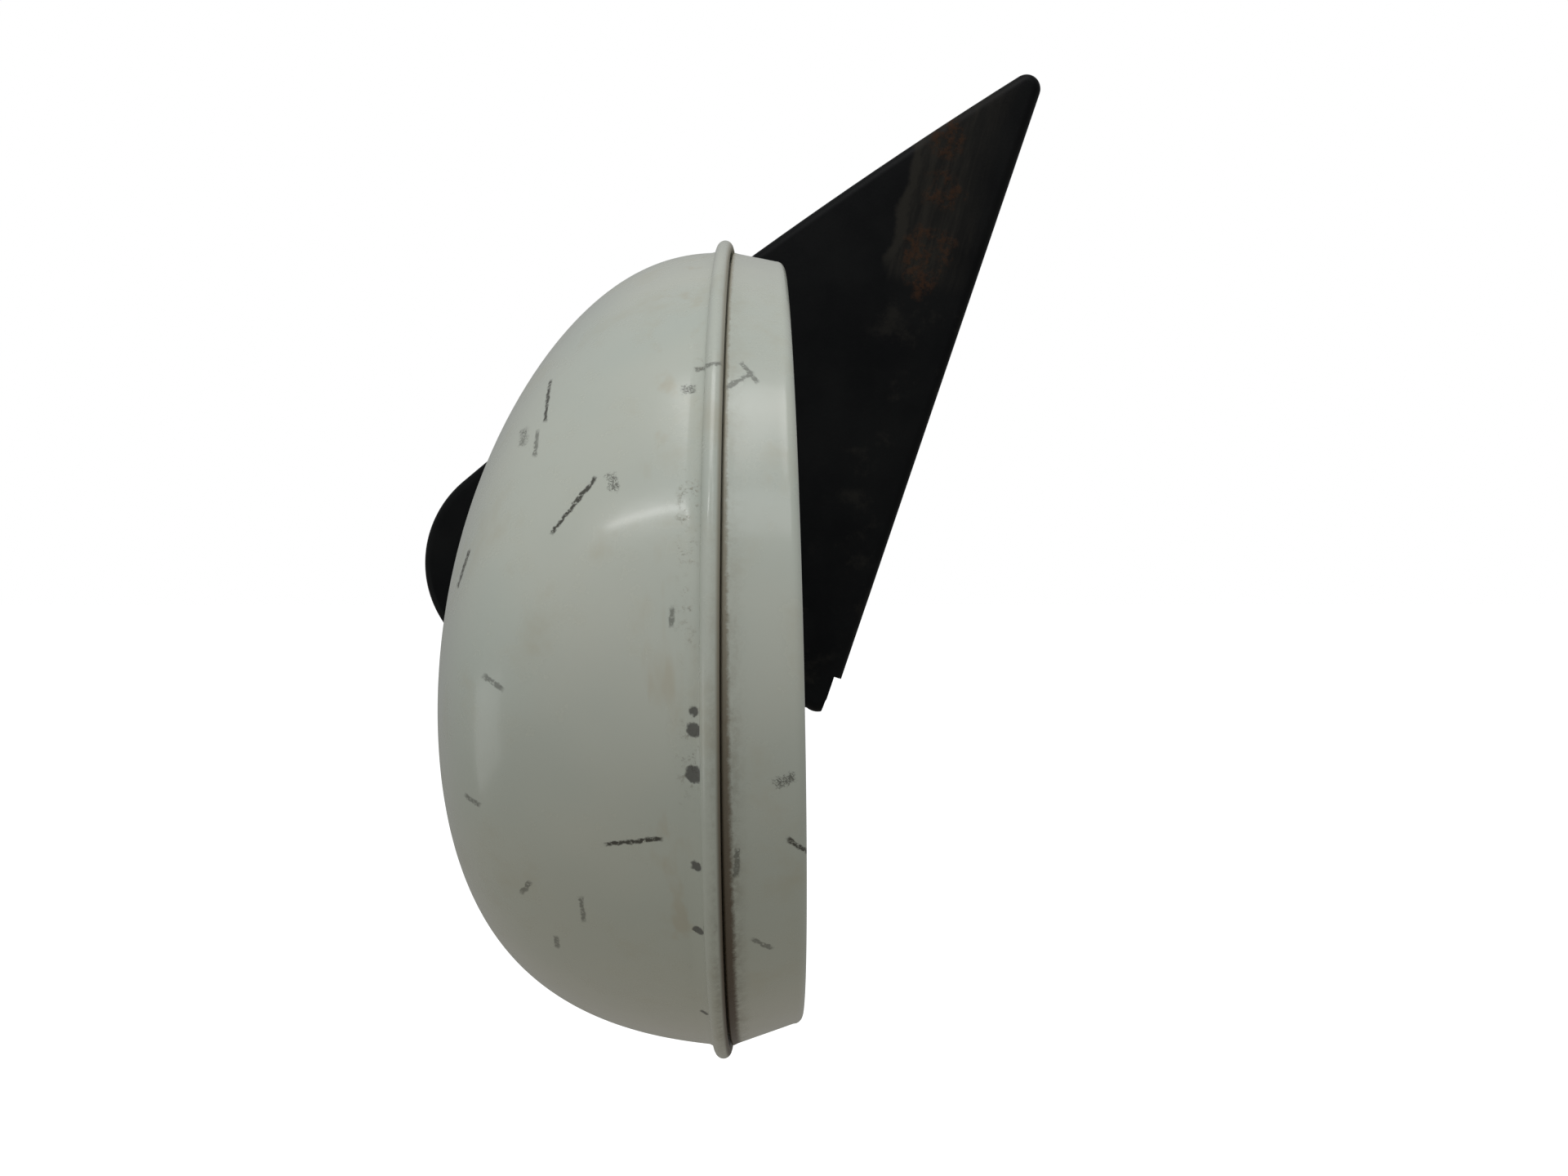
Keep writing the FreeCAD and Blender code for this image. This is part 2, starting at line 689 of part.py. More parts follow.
def lock_screw():
    """Grub screw that holds the ball stud in the stem, sunk a little below the stem's top."""
    long = "(stem_radius - spigot_radius - lock_sunk)"
    low = ("ball_x", f"{STEM_TIP} + lock_from_end", "head_z + spigot_radius")
    mouth = ("ball_x", f"{STEM_TIP} + lock_from_end", f"head_z + spigot_radius + {long} / 2")
    body = cylinder("lock_body", "lock_screw", long, low)
    return cut("lock_screw_solid", body, hexagon("lock_key", "lock_screw", "stem_radius", mouth))


def ball_liner():
    """Nylon liner between the ball and the clamp plates' cups."""
    outside = sphere("liner_outside", LINER_RADIUS, BALL)
    inside = sphere("liner_inside", "ball_radius + ball_gap", BALL)
    low = ("ball_x", "ball_y - liner_out", "head_z")
    band = cylinder("liner_band", f"2 * {LINER_RADIUS}", "liner_in + liner_out", low, ALONG_Y)
    return common("ball_liner_solid", cut("liner_shell", outside, inside), band)


# ---------------------------------------------------------------- clamp plates and bracket in the head


def socket_plate(side_name, side):
    """Pressed plate with a cup on the liner; side is 1 for the arm's side and -1 for the far side."""
    name = f"socket_plate_{side_name}"
    near = f"ball_y + ({side}) * clamp_half_gap"
    flange_low = f"{near} + ({min(side, 0)}) * clamp_plate"
    cup_low = f"{near} + ({min(side, 0)}) * (cup_reach - clamp_half_gap)"
    spot = ("ball_x", f"{flange_low} + clamp_plate", "head_z")
    outline = rounded_outline(
        f"{name}_outline", "clamp_width", "clamp_height", "clamp_corner", spot, FACING_OUT
    )
    flange = extrude(f"{name}_flange", outline, "clamp_plate")
    low = ("ball_x", cup_low, "head_z")
    slab = cylinder(f"{name}_slab", f"2 * {CUP_OUTER}", "cup_reach - clamp_half_gap", low, ALONG_Y)
    cup = common(f"{name}_cup", sphere(f"{name}_dome", CUP_OUTER, BALL), slab)
    spots = [(x, f"{flange_low} - clamp_plate", z) for x, z in CLAMPS]
    holes = row(f"{name}_hole", "clamp_hole", "3 * clamp_plate", spots, ALONG_Y)
    seat = sphere(f"{name}_seat", CUP_INNER, BALL)
    return cut(f"{name}_solid", fuse(f"{name}_pressing", flange, cup), seat, *holes)


def socket_bracket():
    """Folded bracket: one leg carries the clamp plates, the other is screwed to the backing plate."""
    low = "ball_y + clamp_half_gap + clamp_plate"
    high = "clamp_height"
    front = "(ball_x - clamp_width / 2)"
    wall = box(
        "bracket_wall",
        (f"{BACKING_FRONT} - {front}", "bracket_thick", high),
        (front, low, f"head_z - {high} / 2"),
    )
    leg = box(
        "bracket_leg",
        ("bracket_thick", f"bracket_reach + bracket_thick", high),
        (BRACKET_FRONT, f"{low} - bracket_reach", f"head_z - {high} / 2"),
    )
    behind = f"{low} - bracket_thick"
    middle = ("ball_x", behind, "head_z")
    opening = cylinder("bracket_opening", f"{CUP_OUTER} + cup_clear", "3 * bracket_thick", middle, ALONG_Y)
    spots = [(x, behind, z) for x, z in CLAMPS]
    holes = row("bracket_clamp", "clamp_hole", "3 * bracket_thick", spots, ALONG_Y)
    spots = [(f"{BRACKET_FRONT} - bracket_thick", y, z) for y, z in bracket_spots()]
    holes += row("bracket_hole", "clamp_hole", "3 * bracket_thick", spots, ALONG_X)
    return cut("socket_bracket_solid", fuse("bracket_blank", wall, leg), opening, *holes)


def bracket_spots():
    """Places of the screws between the bracket and the backing plate."""
    return [
        (f"ball_y - bracket_screw_y - {step} * bracket_screw_step", f"head_z + ({side}) * bracket_screw_z")
        for step in range(2)
        for side in SIDES
    ]


def bracket_screws():
    """Screws through the bracket into the backing plate."""
    screws = []
    for index, (y, z) in enumerate(bracket_spots()):
        sizes = ("clamp_screw", "bracket_thick + backing_thick", "clamp_head", "clamp_head_high")
        screws.append(screw(f"bracket_screw_{index}", *sizes, (BRACKET_FRONT, y, z), ALONG_X))
    return group("bracket_screws_group", *screws)


def clamp_screws():
    """Screws that pull the two clamp plates together on the liner."""
    grip = "2 * clamp_half_gap + 2 * clamp_plate + bracket_thick"
    long = f"{grip} + spring_long + clamp_nut_high + clamp_tail"
    screws = []
    for index, (x, z) in enumerate(CLAMPS):
        sizes = ("clamp_screw", long, "clamp_head", "clamp_head_high")
        screws.append(screw(f"clamp_screw_{index}", *sizes, (x, CLAMP_HEAD_Y, z), FACING_OUT))
    return group("clamp_screws_group", *screws)


def clamp_spring(name, spot):
    """One coil spring along Y: a round wire swept along a helix."""
    body = place(DOC.addObject("PartDesign::Body", name), spot, ALONG_Y)
    origin = {item.Role: item for item in body.Origin.OriginFeatures}
    wire = body.newObject("Sketcher::SketchObject", f"{name}_wire")
    wire.AttachmentSupport = (origin["XZ_Plane"], [""])
    wire.MapMode = "FlatFace"
    circle = Part.Circle(Vector(size("spring_mean"), 0, 0), Vector(0, 0, 1), size("spring_wire"))
    wire.addGeometry(circle, False)
    wire.addConstraint(Sketcher.Constraint("PointOnObject", 0, 3, -1))
    name_size(wire, "mean", "spring_mean", "DistanceX", -1, 1, 0, 3)
    name_size(wire, "wire", "spring_wire", "Radius", 0)
    DOC.recompute()
    coil = body.newObject("PartDesign::AdditiveHelix", f"{name}_coil")
    coil.Profile = wire
    coil.ReferenceAxis = (origin["Z_Axis"], [""])
    coil.Mode = 0
    bind(coil, Pitch=f"{COIL_HIGH} / spring_turns", Height=COIL_HIGH)
    return body


def clamp_springs():
    """Coil springs that keep the clamp plates pressed on the liner."""
    spots = [(x, f"{SPRING_HIGH} - spring_long + spring_wire", z) for x, z in CLAMPS]
    springs = [clamp_spring(f"spring_{index}", spot) for index, spot in enumerate(spots)]
    return group("clamp_springs_group", *springs)


def clamp_nuts():
    """Nuts on the clamp screws."""
    nuts = []
    for index, (x, z) in enumerate(CLAMPS):
        spot = (x, f"{SPRING_HIGH} - spring_long - clamp_nut_high", z)
        blank = hexagon(f"clamp_nut_blank_{index}", "clamp_nut_flats", "clamp_nut_high", spot, ALONG_Y)
        bore = cylinder(f"clamp_nut_bore_{index}", "clamp_screw", "clamp_nut_high", spot, ALONG_Y)
        nuts.append(cut(f"clamp_nut_{index}", blank, bore))
    return group("clamp_nuts_group", *nuts)


# ---------------------------------------------------------------- head: shell, ring, seal, glass

DOME_STEPS = 16
DOME_TIP = 87.0
BEAD_STEPS = 6
BEAD_HALF = 80.0


def dome(name, wall):
    """Solid dome, smaller all round by wall: flat-sided, full below and falling away above."""
    sections = []
    depth = f"(dome_depth - {wall})"
    for step in range(DOME_STEPS + 1):
        reach = math.sin(math.radians(DOME_TIP) * step / DOME_STEPS)
        side = f"(half_width - {wall}) * sqrt(1 - {reach:.6f} ^ side_power)"
        top = f"(half_height - {wall}) * (1 - {reach:.6f} ^ top_power) ^ top_round"
        bottom = f"(half_height - {wall}) * (1 - {reach:.6f} ^ bottom_power) ^ bottom_round"
        x = f"head_x - {depth} * {reach:.6f}"
        y = f"head_y + dome_lean * {reach:.6f}"
        z = f"head_z + ({top} - {bottom}) / 2 + dome_rise * {reach:.6f}"
        sections.append(ellipse(f"{name}_section_{step}", side, f"({top} + {bottom}) / 2", (x, y, z)))
    return loft(name, sections)


def bead_disc():
    """Disc as wide as the bead, with the bead's half-round edge."""
    sections = []
    for step in range(BEAD_STEPS + 1):
        angle = math.radians(BEAD_HALF * (2 * step / BEAD_STEPS - 1))
        stand = f"bead_stand + bead_radius * {math.cos(angle):.6f}"
        x = f"head_x + bead_radius * {math.sin(angle):.6f}"
        sizes = (f"half_width + {stand}", f"half_height + {stand}")
        sections.append(ellipse(f"bead_section_{step}", *sizes, (x, "head_y", "head_z")))
    return loft("bead_disc", sections, ruled=True)


def head_shell():
    """Pressed steel shell with a rolled bead round its open side and a slot for the arm's stem."""
    skin = cut("shell_skin", dome("shell_outside", "0"), dome("shell_inside", "shell_wall"))
    throat = oval_plate(
        "bead_throat",
        "half_width - shell_wall / 2",
        "half_height - shell_wall / 2",
        "head_x - 2 * bead_radius",
        "head_x + 2 * bead_radius",
        "0",
    )
    bead = cut("bead_ring", bead_disc(), throat)
    return cut("head_shell_solid", fuse("shell_with_bead", skin, bead), stem_slot())


def stem_slot():
    """Slot in the shell's inboard wall, long enough for the stem over the whole swing of the ball."""
    inboard = "(head_y + half_width - ball_y)"
    half_high = f"(stem_radius + slot_clear + {inboard} * sin(swing) ^ 2)"
    half_long = f"(stem_radius + slot_clear + {inboard} * tan(swing))"
    low = f"ball_y + {inboard} / 2"
    middle = f"({half_long} - {half_high})"
    slab = box(
        "slot_middle",
        (f"2 * {middle}", inboard, f"2 * {half_high}"),
        (f"ball_x - {middle}", low, f"head_z - {half_high}"),
    )
    spots = [(f"ball_x + ({side}) * {middle}", low, "head_z") for side in SIDES]
    return fuse("stem_slot", slab, *row("slot_end", half_high, inboard, spots, ALONG_Y))


def rim_ring():
    """Ring behind the bead: a spigot inside the shell, a tapered wall and a lip round the glass."""
    tilted = Rotation(Vector(0, 1, 0), -size("rim_tilt")) * FACING_X
    shoulder = f"{RING_FRONT} + groove_depth"
    bend = "head_x + collar_depth - rim_round"
    narrow = ("rim_narrow + rim_round / 2", "rim_lower + rim_round / 2")
    stations = (
        ("groove", RING_FRONT, "groove_depth", "groove_depth", "0", FACING_X),
        ("shoulder", shoulder, "0", "0", "0", FACING_X),
        ("bend", bend, "rim_narrow", "rim_lower", "rim_rise", tilted),
        ("rim", "head_x + collar_depth", *narrow, "rim_rise", tilted),
    )
    sections = []
    for tag, x, in_y, in_z, rise, turn in stations:
        sizes = (f"half_width - ({in_y})", f"half_height - ({in_z})")
        sections.append(ellipse(f"ring_{tag}", *sizes, (x, "head_y", f"head_z + {rise}"), turn))
    collar = loft("ring_collar", sections, ruled=True)
    inset = "(shell_wall + spigot_gap)"
    sizes = (f"half_width - {inset}", f"half_height - {inset}")
    spigot = oval_plate("ring_spigot", *sizes, BACKING_BACK, shoulder, "0")
    sizes = (f"{GLASS_Y} + seal_gap + seal_edge", f"{GLASS_Z} + seal_gap + seal_edge")
    front = f"{BACKING_BACK} - spigot_length"
    cavity = oval_plate("ring_cavity", *sizes, front, f"{SEAL_BACK} + seal_play", "glass_rise")
    sizes = (f"{GLASS_Y} - lip_inset + seal_gap", f"{GLASS_Z} - lip_inset + seal_gap")
    mouth = oval_plate("ring_mouth", *sizes, SEAL_BACK, "head_x + 2 * collar_depth", "glass_rise")
    return cut("rim_ring_solid", fuse("ring_blank", collar, spigot), cavity, mouth)


def glass_blank(name):
    """The glass's own solid, also used to groove the seal."""
    return oval_plate(name, GLASS_Y, GLASS_Z, "glass_front", "glass_front + glass_thick", "glass_rise")


def mirror_glass():
    """Flat oval mirror glass."""
    return glass_blank("mirror_glass_solid")


def glass_seal():
    """Rubber channel round the glass's edge."""
    sizes = (f"{GLASS_Y} + seal_edge", f"{GLASS_Z} + seal_edge")
    outside = oval_plate("seal_outside", *sizes, SEAL_FRONT, SEAL_BACK, "glass_rise")
    sizes = (f"{GLASS_Y} - lip_inset + seal_gap", f"{GLASS_Z} - lip_inset + seal_gap")
    ends = (f"{SEAL_FRONT} - seal_lip", f"{SEAL_BACK} + seal_lip")
    mouth = oval_plate("seal_mouth", *sizes, *ends, "glass_rise")
    return cut("glass_seal_solid", outside, glass_blank("seal_groove"), mouth)


def glass_pad():
    """Foam pad between the glass and the backing plate."""
    sizes = (f"{GLASS_Y} - lip_inset", f"{GLASS_Z} - lip_inset")
    return oval_plate("glass_pad_solid", *sizes, BACKING_BACK, "glass_front", "glass_rise")


def backing_plate():
    """Steel plate that carries the glass and holds the bracket."""
    inset = "(shell_wall + plate_gap)"
    sizes = (f"half_width - {inset}", f"half_height - {inset}")
    plate = oval_plate("backing_blank", *sizes, BACKING_FRONT, BACKING_BACK, "0")
    spots = [(f"{BACKING_FRONT} - backing_thick", y, z) for y, z in bracket_spots()]
    holes = row("backing_hole", "clamp_screw", "3 * backing_thick", spots, ALONG_X)
    return cut("backing_plate_solid", plate, *holes)


# ---------------------------------------------------------------- the mirror

node("sail_cover", sail_cover())
node("sail_plate", sail_plate())
node("sail_gasket", sail_gasket())
node("door_studs", door_studs())
node("foot", foot())
node("foot_screws", foot_screws())
node("pivot_pin", pivot_pin())
node("pivot_washers", pivot_washers())
node("disc_springs", disc_springs())
node("pivot_nut", pivot_nut())
node("arm", arm())
node("arm_bush", arm_bush())
node("ball_stud", ball_stud())
node("lock_screw", lock_screw())
node("ball_liner", ball_liner())
node("socket_plate_inner", socket_plate("inner", 1))
node("socket_plate_outer", socket_plate("outer", -1))
node("socket_bracket", socket_bracket())
node("bracket_screws", bracket_screws())
node("clamp_screws", clamp_screws())
node("clamp_springs", clamp_springs())
node("clamp_nuts", clamp_nuts())
node("backing_plate", backing_plate())
node("glass_pad", glass_pad())
node("mirror_glass", mirror_glass())
node("glass_seal", glass_seal())
node("rim_ring", rim_ring())
node("head_shell", head_shell())

DOC.recompute()

faults = [item.Name for item in DOC.Objects if {"Invalid", "Error"} & set(item.State)]
if faults:
    raise RuntimeError(f"objects that failed to build: {faults}")

os.makedirs("parts", exist_ok=True)
for item in NODES:
    if item.Shape.isNull() or not item.Shape.isValid():
        raise RuntimeError(f"{item.Label} has no valid shape")
for item in NODES:
    item.Shape.exportStep(f"parts/{item.Label}.step")
    bounds = item.Shape.BoundBox
    print(f"{item.Label}: {len(item.Shape.Solids)} solid(s), {item.Shape.Volume / 1000:.2f} cm3, {bounds}")
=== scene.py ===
# %% [markdown]
# # A used car door mirror
# An oval pressed-steel head sits on a ball joint, a short arm folds it against the car, and a black
# triangular sail bolts to the door. The design arrives as a fixed frame of parts that already fit and
# move. This lesson gives those parts their looks: large skins are modelled again with finer meshes, and
# every part gets a finish.
# %% Load the frame
import json
import math
import random

import bmesh
import bpy
from mathutils import Matrix, Quaternion, Vector


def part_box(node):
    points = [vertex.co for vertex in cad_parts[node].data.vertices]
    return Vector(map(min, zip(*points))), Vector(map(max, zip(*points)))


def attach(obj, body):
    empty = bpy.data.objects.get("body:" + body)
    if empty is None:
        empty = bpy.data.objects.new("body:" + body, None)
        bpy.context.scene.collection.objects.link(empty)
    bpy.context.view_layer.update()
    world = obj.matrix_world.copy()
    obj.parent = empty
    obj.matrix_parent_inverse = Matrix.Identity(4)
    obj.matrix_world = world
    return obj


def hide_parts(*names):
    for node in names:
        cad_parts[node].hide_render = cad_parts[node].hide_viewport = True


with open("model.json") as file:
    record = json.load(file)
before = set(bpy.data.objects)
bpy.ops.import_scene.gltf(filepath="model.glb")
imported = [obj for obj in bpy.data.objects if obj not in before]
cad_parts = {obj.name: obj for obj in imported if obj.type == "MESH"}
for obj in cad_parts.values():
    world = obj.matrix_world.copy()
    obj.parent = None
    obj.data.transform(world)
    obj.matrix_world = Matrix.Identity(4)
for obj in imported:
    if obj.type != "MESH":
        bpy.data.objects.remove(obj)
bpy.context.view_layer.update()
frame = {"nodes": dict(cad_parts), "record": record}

MM = 0.001

# %% [markdown]
# ## Wires: shader maths as Python
# A finish is a web of nodes, and most of it is arithmetic. One small class wraps an output socket, so
# that `1 - mask` or `dirt * 0.4` adds its Math node by itself. Every other node comes from the one method
# `node`.
# %% The Wire class


class Wire:
    """An output socket of a material's tree that takes part in Python arithmetic."""

    def __init__(self, tree, socket=None):
        self.tree = tree
        self.socket = socket

    def node(self, kind, settings=None, sockets=None, out=0):
        """Add a node: its settings first, then the values or wires of its sockets."""
        item = self.tree.nodes.new("ShaderNode" + kind)
        for name, value in (settings or {}).items():
            if name == "stops":
                fill_ramp(item.color_ramp, value)
            else:
                setattr(item, name, value)
        for name, value in (sockets or {}).items():
            if isinstance(value, Wire):
                self.tree.links.new(value.socket, item.inputs[name])
            else:
                item.inputs[name].default_value = value
        return Wire(self.tree, item.outputs[out])

    def maths(self, operation, first, second=0.0):
        return self.node("Math", {"operation": operation}, {0: first, 1: second})

    def __add__(self, other):
        return self.maths("ADD", self, other)

    def __sub__(self, other):
        return self.maths("SUBTRACT", self, other)

    def __rsub__(self, other):
        return self.maths("SUBTRACT", other, self)

    def __mul__(self, other):
        return self.maths("MULTIPLY", self, other)

    def __truediv__(self, other):
        return self.maths("DIVIDE", self, other)

    __radd__ = __add__
    __rmul__ = __mul__

    def top(self, other):
        """The larger of two values."""
        return self.maths("MAXIMUM", self, other)

    def low(self, other):
        """The smaller of two values."""
        return self.maths("MINIMUM", self, other)

    def size(self):
        return self.maths("ABSOLUTE", self)

    def between(self, start, end):
        """0 before start and 1 after end, with an easy slope between them."""
        settings = {"interpolation_type": "SMOOTHSTEP"}
        return self.node("MapRange", settings, {"Value": self, "From Min": start, "From Max": end})

    def fade(self, start, end):
        """1 before start and 0 after end."""
        sockets = {"Value": self, "From Min": start, "From Max": end, "To Min": 1.0, "To Max": 0.0}
        return self.node("MapRange", {"interpolation_type": "SMOOTHSTEP"}, sockets)

    def band(self, middle, half, soft):
        """1 within half of the middle, falling to 0 over soft."""
        return (self - middle).size().fade(half, half + soft)


def fill_ramp(ramp, stops):
    """Give a colour ramp its stops: (position, colour) pairs."""
    while len(ramp.elements) < len(stops):
        ramp.elements.new(0.5)
    for element, (position, colour) in zip(ramp.elements, stops):
        element.position = position
        element.color = (*colour, 1.0)


print("Wire is ready")

# %% [markdown]
# ## What every finish is made of
# Every finish reads Object coordinates, so a pattern stays on its part when the part moves. The helpers
# below give noise, specks and stretched streaks at a real size in millimetres, mix colours, and build
# bump.
# %% Finish helpers


class Finish:
    """A material with one Principled shader, and shorthands for its patterns."""

    def __init__(self, name, metallic=0.0, roughness=0.5, **constants):
        self.material = bpy.data.materials.new(name)
        self.material.use_nodes = True
        self.tree = self.material.node_tree
        self.shader = self.tree.nodes["Principled BSDF"]
        self.shader.inputs["Metallic"].default_value = metallic
        self.shader.inputs["Roughness"].default_value = roughness
        for socket, value in constants.items():
            self.shader.inputs[socket.replace("_", " ")].default_value = value
        self.start = Wire(self.tree)
        self.place = self.start.node("TexCoord", out="Object")
        self.x, self.y, self.z = (axis / MM for axis in self.axes(self.place))

    def axes(self, vector):
        """The three parts of a vector, as wires."""
        split = self.start.node("SeparateXYZ", {}, {0: vector})
        return [Wire(self.tree, output) for output in split.socket.node.outputs]

    def jitter(self, grain, reach):
        """The place shaken by noise, so that what is drawn on it gets a ragged edge; in millimetres."""
        noise = self.noise(grain, detail=3.0)
        three = Wire(self.tree, noise.socket.node.outputs["Color"])
        centred = self.start.node("VectorMath", {"operation": "SUBTRACT"}, {0: three, 1: (0.5, 0.5, 0.5)})
        shake = self.start.node("VectorMath", {"operation": "SCALE"}, {0: centred, "Scale": reach * 2 * MM})
        return self.start.node("VectorMath", {"operation": "ADD"}, {0: self.place, 1: shake})

    def stroke(self, place, ends, half, soft=0.25):
        """Mask of a straight stroke seen from the side: ends as (x, z), all in millimetres."""
        (x0, z0), (x1, z1) = ends
        middle = ((x0 + x1) / 2 * MM, 0, (z0 + z1) / 2 * MM)
        turn = (0, -math.atan2(z1 - z0, x1 - x0), 0)
        sockets = {"Vector": place, "Location": middle, "Rotation": turn}
        along, _, aside = self.axes(self.start.node("Mapping", {"vector_type": "TEXTURE"}, sockets))
        long = math.hypot(x1 - x0, z1 - z0) / 2
        return (along / MM).size().fade(long - 0.3, long + 0.4) * (aside / MM).size().fade(half, half + soft)

    def spot(self, place, centre, radius, soft=0.3):
        """Mask of a round spot at a point, in millimetres."""
        sockets = {0: place, 1: tuple(part * MM for part in centre)}
        far = self.start.node("VectorMath", {"operation": "DISTANCE"}, sockets, out="Value") / MM
        return far.fade(radius, radius + soft)

    def spread(self, centre=(0, 0, 0), turn=(0, 0, 0), scale=(1, 1, 1)):
        """The place moved, turned and stretched, for patterns with a direction; centre in millimetres."""
        sockets = {
            "Vector": self.place,
            "Location": tuple(c * MM for c in centre),
            "Rotation": tuple(math.radians(t) for t in turn),
            "Scale": scale,
        }
        return self.start.node("Mapping", {"vector_type": "TEXTURE"}, sockets)

    def noise(self, grain, detail=4.0, rough=0.55, place=None, warp=0.0):
        """Noise whose lumps are grain millimetres across."""
        sockets = {
            "Vector": place or self.place,
            "Scale": 1 / (grain * MM),
            "Detail": detail,
            "Roughness": rough,
            "Distortion": warp,
        }
        return self.start.node("TexNoise", {}, sockets)

    def cells(self, grain, out="Distance"):
        """Distance or colour of scattered cells that are grain millimetres apart."""
        return self.start.node("TexVoronoi", {}, {"Vector": self.place, "Scale": 1 / (grain * MM)}, out=out)

    def mix(self, amount, first, second):
        """Blend two colours."""
        sockets = {0: amount}
        for index, value in ((6, first), (7, second)):
            sockets[index] = value if isinstance(value, Wire) else (*value, 1.0)
        return self.start.node("Mix", {"data_type": "RGBA"}, sockets, out=2)

    def bump(self, height, reach, strength=1.0, under=None):
        """Bump whose height runs over reach millimetres."""
        sockets = {"Height": height, "Distance": reach * MM, "Strength": strength}
        if under:
            sockets["Normal"] = under
        return self.start.node("Bump", {}, sockets)

    def wire(self, **links):
        """Connect wires to the shader's sockets."""
        for socket, wire in links.items():
            self.tree.links.new(wire.socket, self.shader.inputs[socket.replace("_", " ")])
        return self.material


print("finish helpers are ready")

# %% [markdown]
# ## Measures of the head
# The head is an ellipse at its bead. The dome grows forwards from it: flat at the sides, full below and
# falling away above. The same few numbers that shape the frame's dome are read back from the frame's own
# boxes.
# %% Head measures
shell_low, shell_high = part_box("head_shell")
ring_low, ring_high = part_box("rim_ring")
BEAD_ROUND = 1.2 * MM
BEAD_STAND = 0.8 * MM
WALL = 1.2 * MM
HEAD_Y = (ring_low[1] + ring_high[1]) / 2
HEAD_Z = (shell_low[2] + shell_high[2]) / 2
HEAD_X = shell_high[0] - BEAD_ROUND * math.sin(math.radians(80))
HALF_WIDE = (ring_high[1] - ring_low[1]) / 2
HALF_HIGH = (shell_high[2] - shell_low[2]) / 2 - BEAD_ROUND - BEAD_STAND
DEPTH = HEAD_X - shell_low[0] + 0.1 * MM
print(f"head: half {HALF_WIDE / MM:.1f} x {HALF_HIGH / MM:.1f} mm, dome {DEPTH / MM:.1f} mm deep")

# %% [markdown]
# ## Ovals that grow into skins
# A pressed shell is a row of ovals. `first_oval` makes the first with a create operator, and `grow`
# extrudes it and moves the new oval to its place with one transform. That keeps the mesh an even grid,
# which shades well.
# %% Oval helpers
ROUND = 256


def oval_matrix(half_y, half_z, x, y, z, shear=0.0):
    """Places a unit circle as an upright oval; shear leans its plane forwards with height."""
    lean = Matrix.Identity(4)
    lean[0][2] = shear
    return Matrix.Translation((x, y, z)) @ lean @ Matrix.Diagonal((1, half_y, half_z, 1))


def first_oval(bm, place):
    """Start a skin with one oval of edges, and return its vertices and edges."""
    upright = Matrix.Rotation(math.radians(90), 4, "Y")
    made = bmesh.ops.create_circle(bm, cap_ends=False, radius=1.0, segments=ROUND, matrix=upright)
    edges = list({edge for vertex in made["verts"] for edge in vertex.link_edges})
    bmesh.ops.transform(bm, matrix=place, verts=made["verts"])
    return {"verts": made["verts"], "edges": edges, "place": place}


def grow(bm, oval, place):
    """Extrude an oval to its next place."""
    made = bmesh.ops.extrude_edge_only(bm, edges=oval["edges"])["geom"]
    verts = [part for part in made if isinstance(part, bmesh.types.BMVert)]
    edges = [part for part in made if isinstance(part, bmesh.types.BMEdge)]
    bmesh.ops.transform(bm, matrix=place @ oval["place"].inverted(), verts=verts)
    return {"verts": verts, "edges": edges, "place": place}


def skin(bm, places):
    """A skin through a row of places; returns its first and last ovals."""
    first = oval = first_oval(bm, places[0])
    for place in places[1:]:
        oval = grow(bm, oval, place)
    return first, oval


def shut(bm, oval):
    """Close the pole of a skin in one point."""
    middle = sum((vertex.co for vertex in oval["verts"]), Vector()) / len(oval["verts"])
    bmesh.ops.pointmerge(bm, verts=oval["verts"], merge_co=middle)


SHARP_FROM = math.radians(35)


def finish_mesh(bm, name, body, material, replaces, merge=0.002):
    """Turn a bmesh into a piece that rides on a body, wears a finish and stands for frame parts."""
    bmesh.ops.remove_doubles(bm, verts=bm.verts, dist=merge * MM)
    bmesh.ops.recalc_face_normals(bm, faces=bm.faces)
    mesh = bpy.data.meshes.new(name)
    bm.to_mesh(mesh)
    bm.free()
    mesh.shade_smooth()
    mesh.set_sharp_from_angle(angle=SHARP_FROM)
    piece = bpy.data.objects.new(name, mesh)
    bpy.context.scene.collection.objects.link(piece)
    mesh.materials.append(material)
    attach(piece, body)
    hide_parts(*replaces)
    print(f"{name}: {len(mesh.polygons)} faces, rides on {body}")
    return piece


print("oval helpers are ready")

# %% [markdown]
# ## Aged white paint
# The head wears one coat of off-white enamel over steel. It has yellowed a little, grime has settled in
# and beside the groove, and things have rubbed and chipped it. Each kind of wear is its own mask, so each
# can be judged alone; the masks then choose between paint, grime, bare primer and rust.
# %% Wear on the head

# Rubs on the outboard face, drawn at random. Each kind: how many, half width, length and how dark.
RUB_KINDS = [(5, 0.14, 9.0, 0.8), (13, 0.2, 4.0, 0.5), (5, 0.45, 2.5, 0.6)]
# Where the face gets rubbed, as shares of the dome's depth (forward) and of its half height (up).
RUBBED_FORWARD = (-0.3, 0.8)
RUBBED_UP = (-0.6, 0.6)
# Chips just in front of the bead, on the lower outboard side: how many, degrees below level, radius, how dark.
CHIP_COUNT = 6
CHIP_BELOW = (0, 45)
CHIP_RADIUS = (0.3, 1.0)
CHIP_DARK = 0.8
CHIP_FORWARD = 2.0


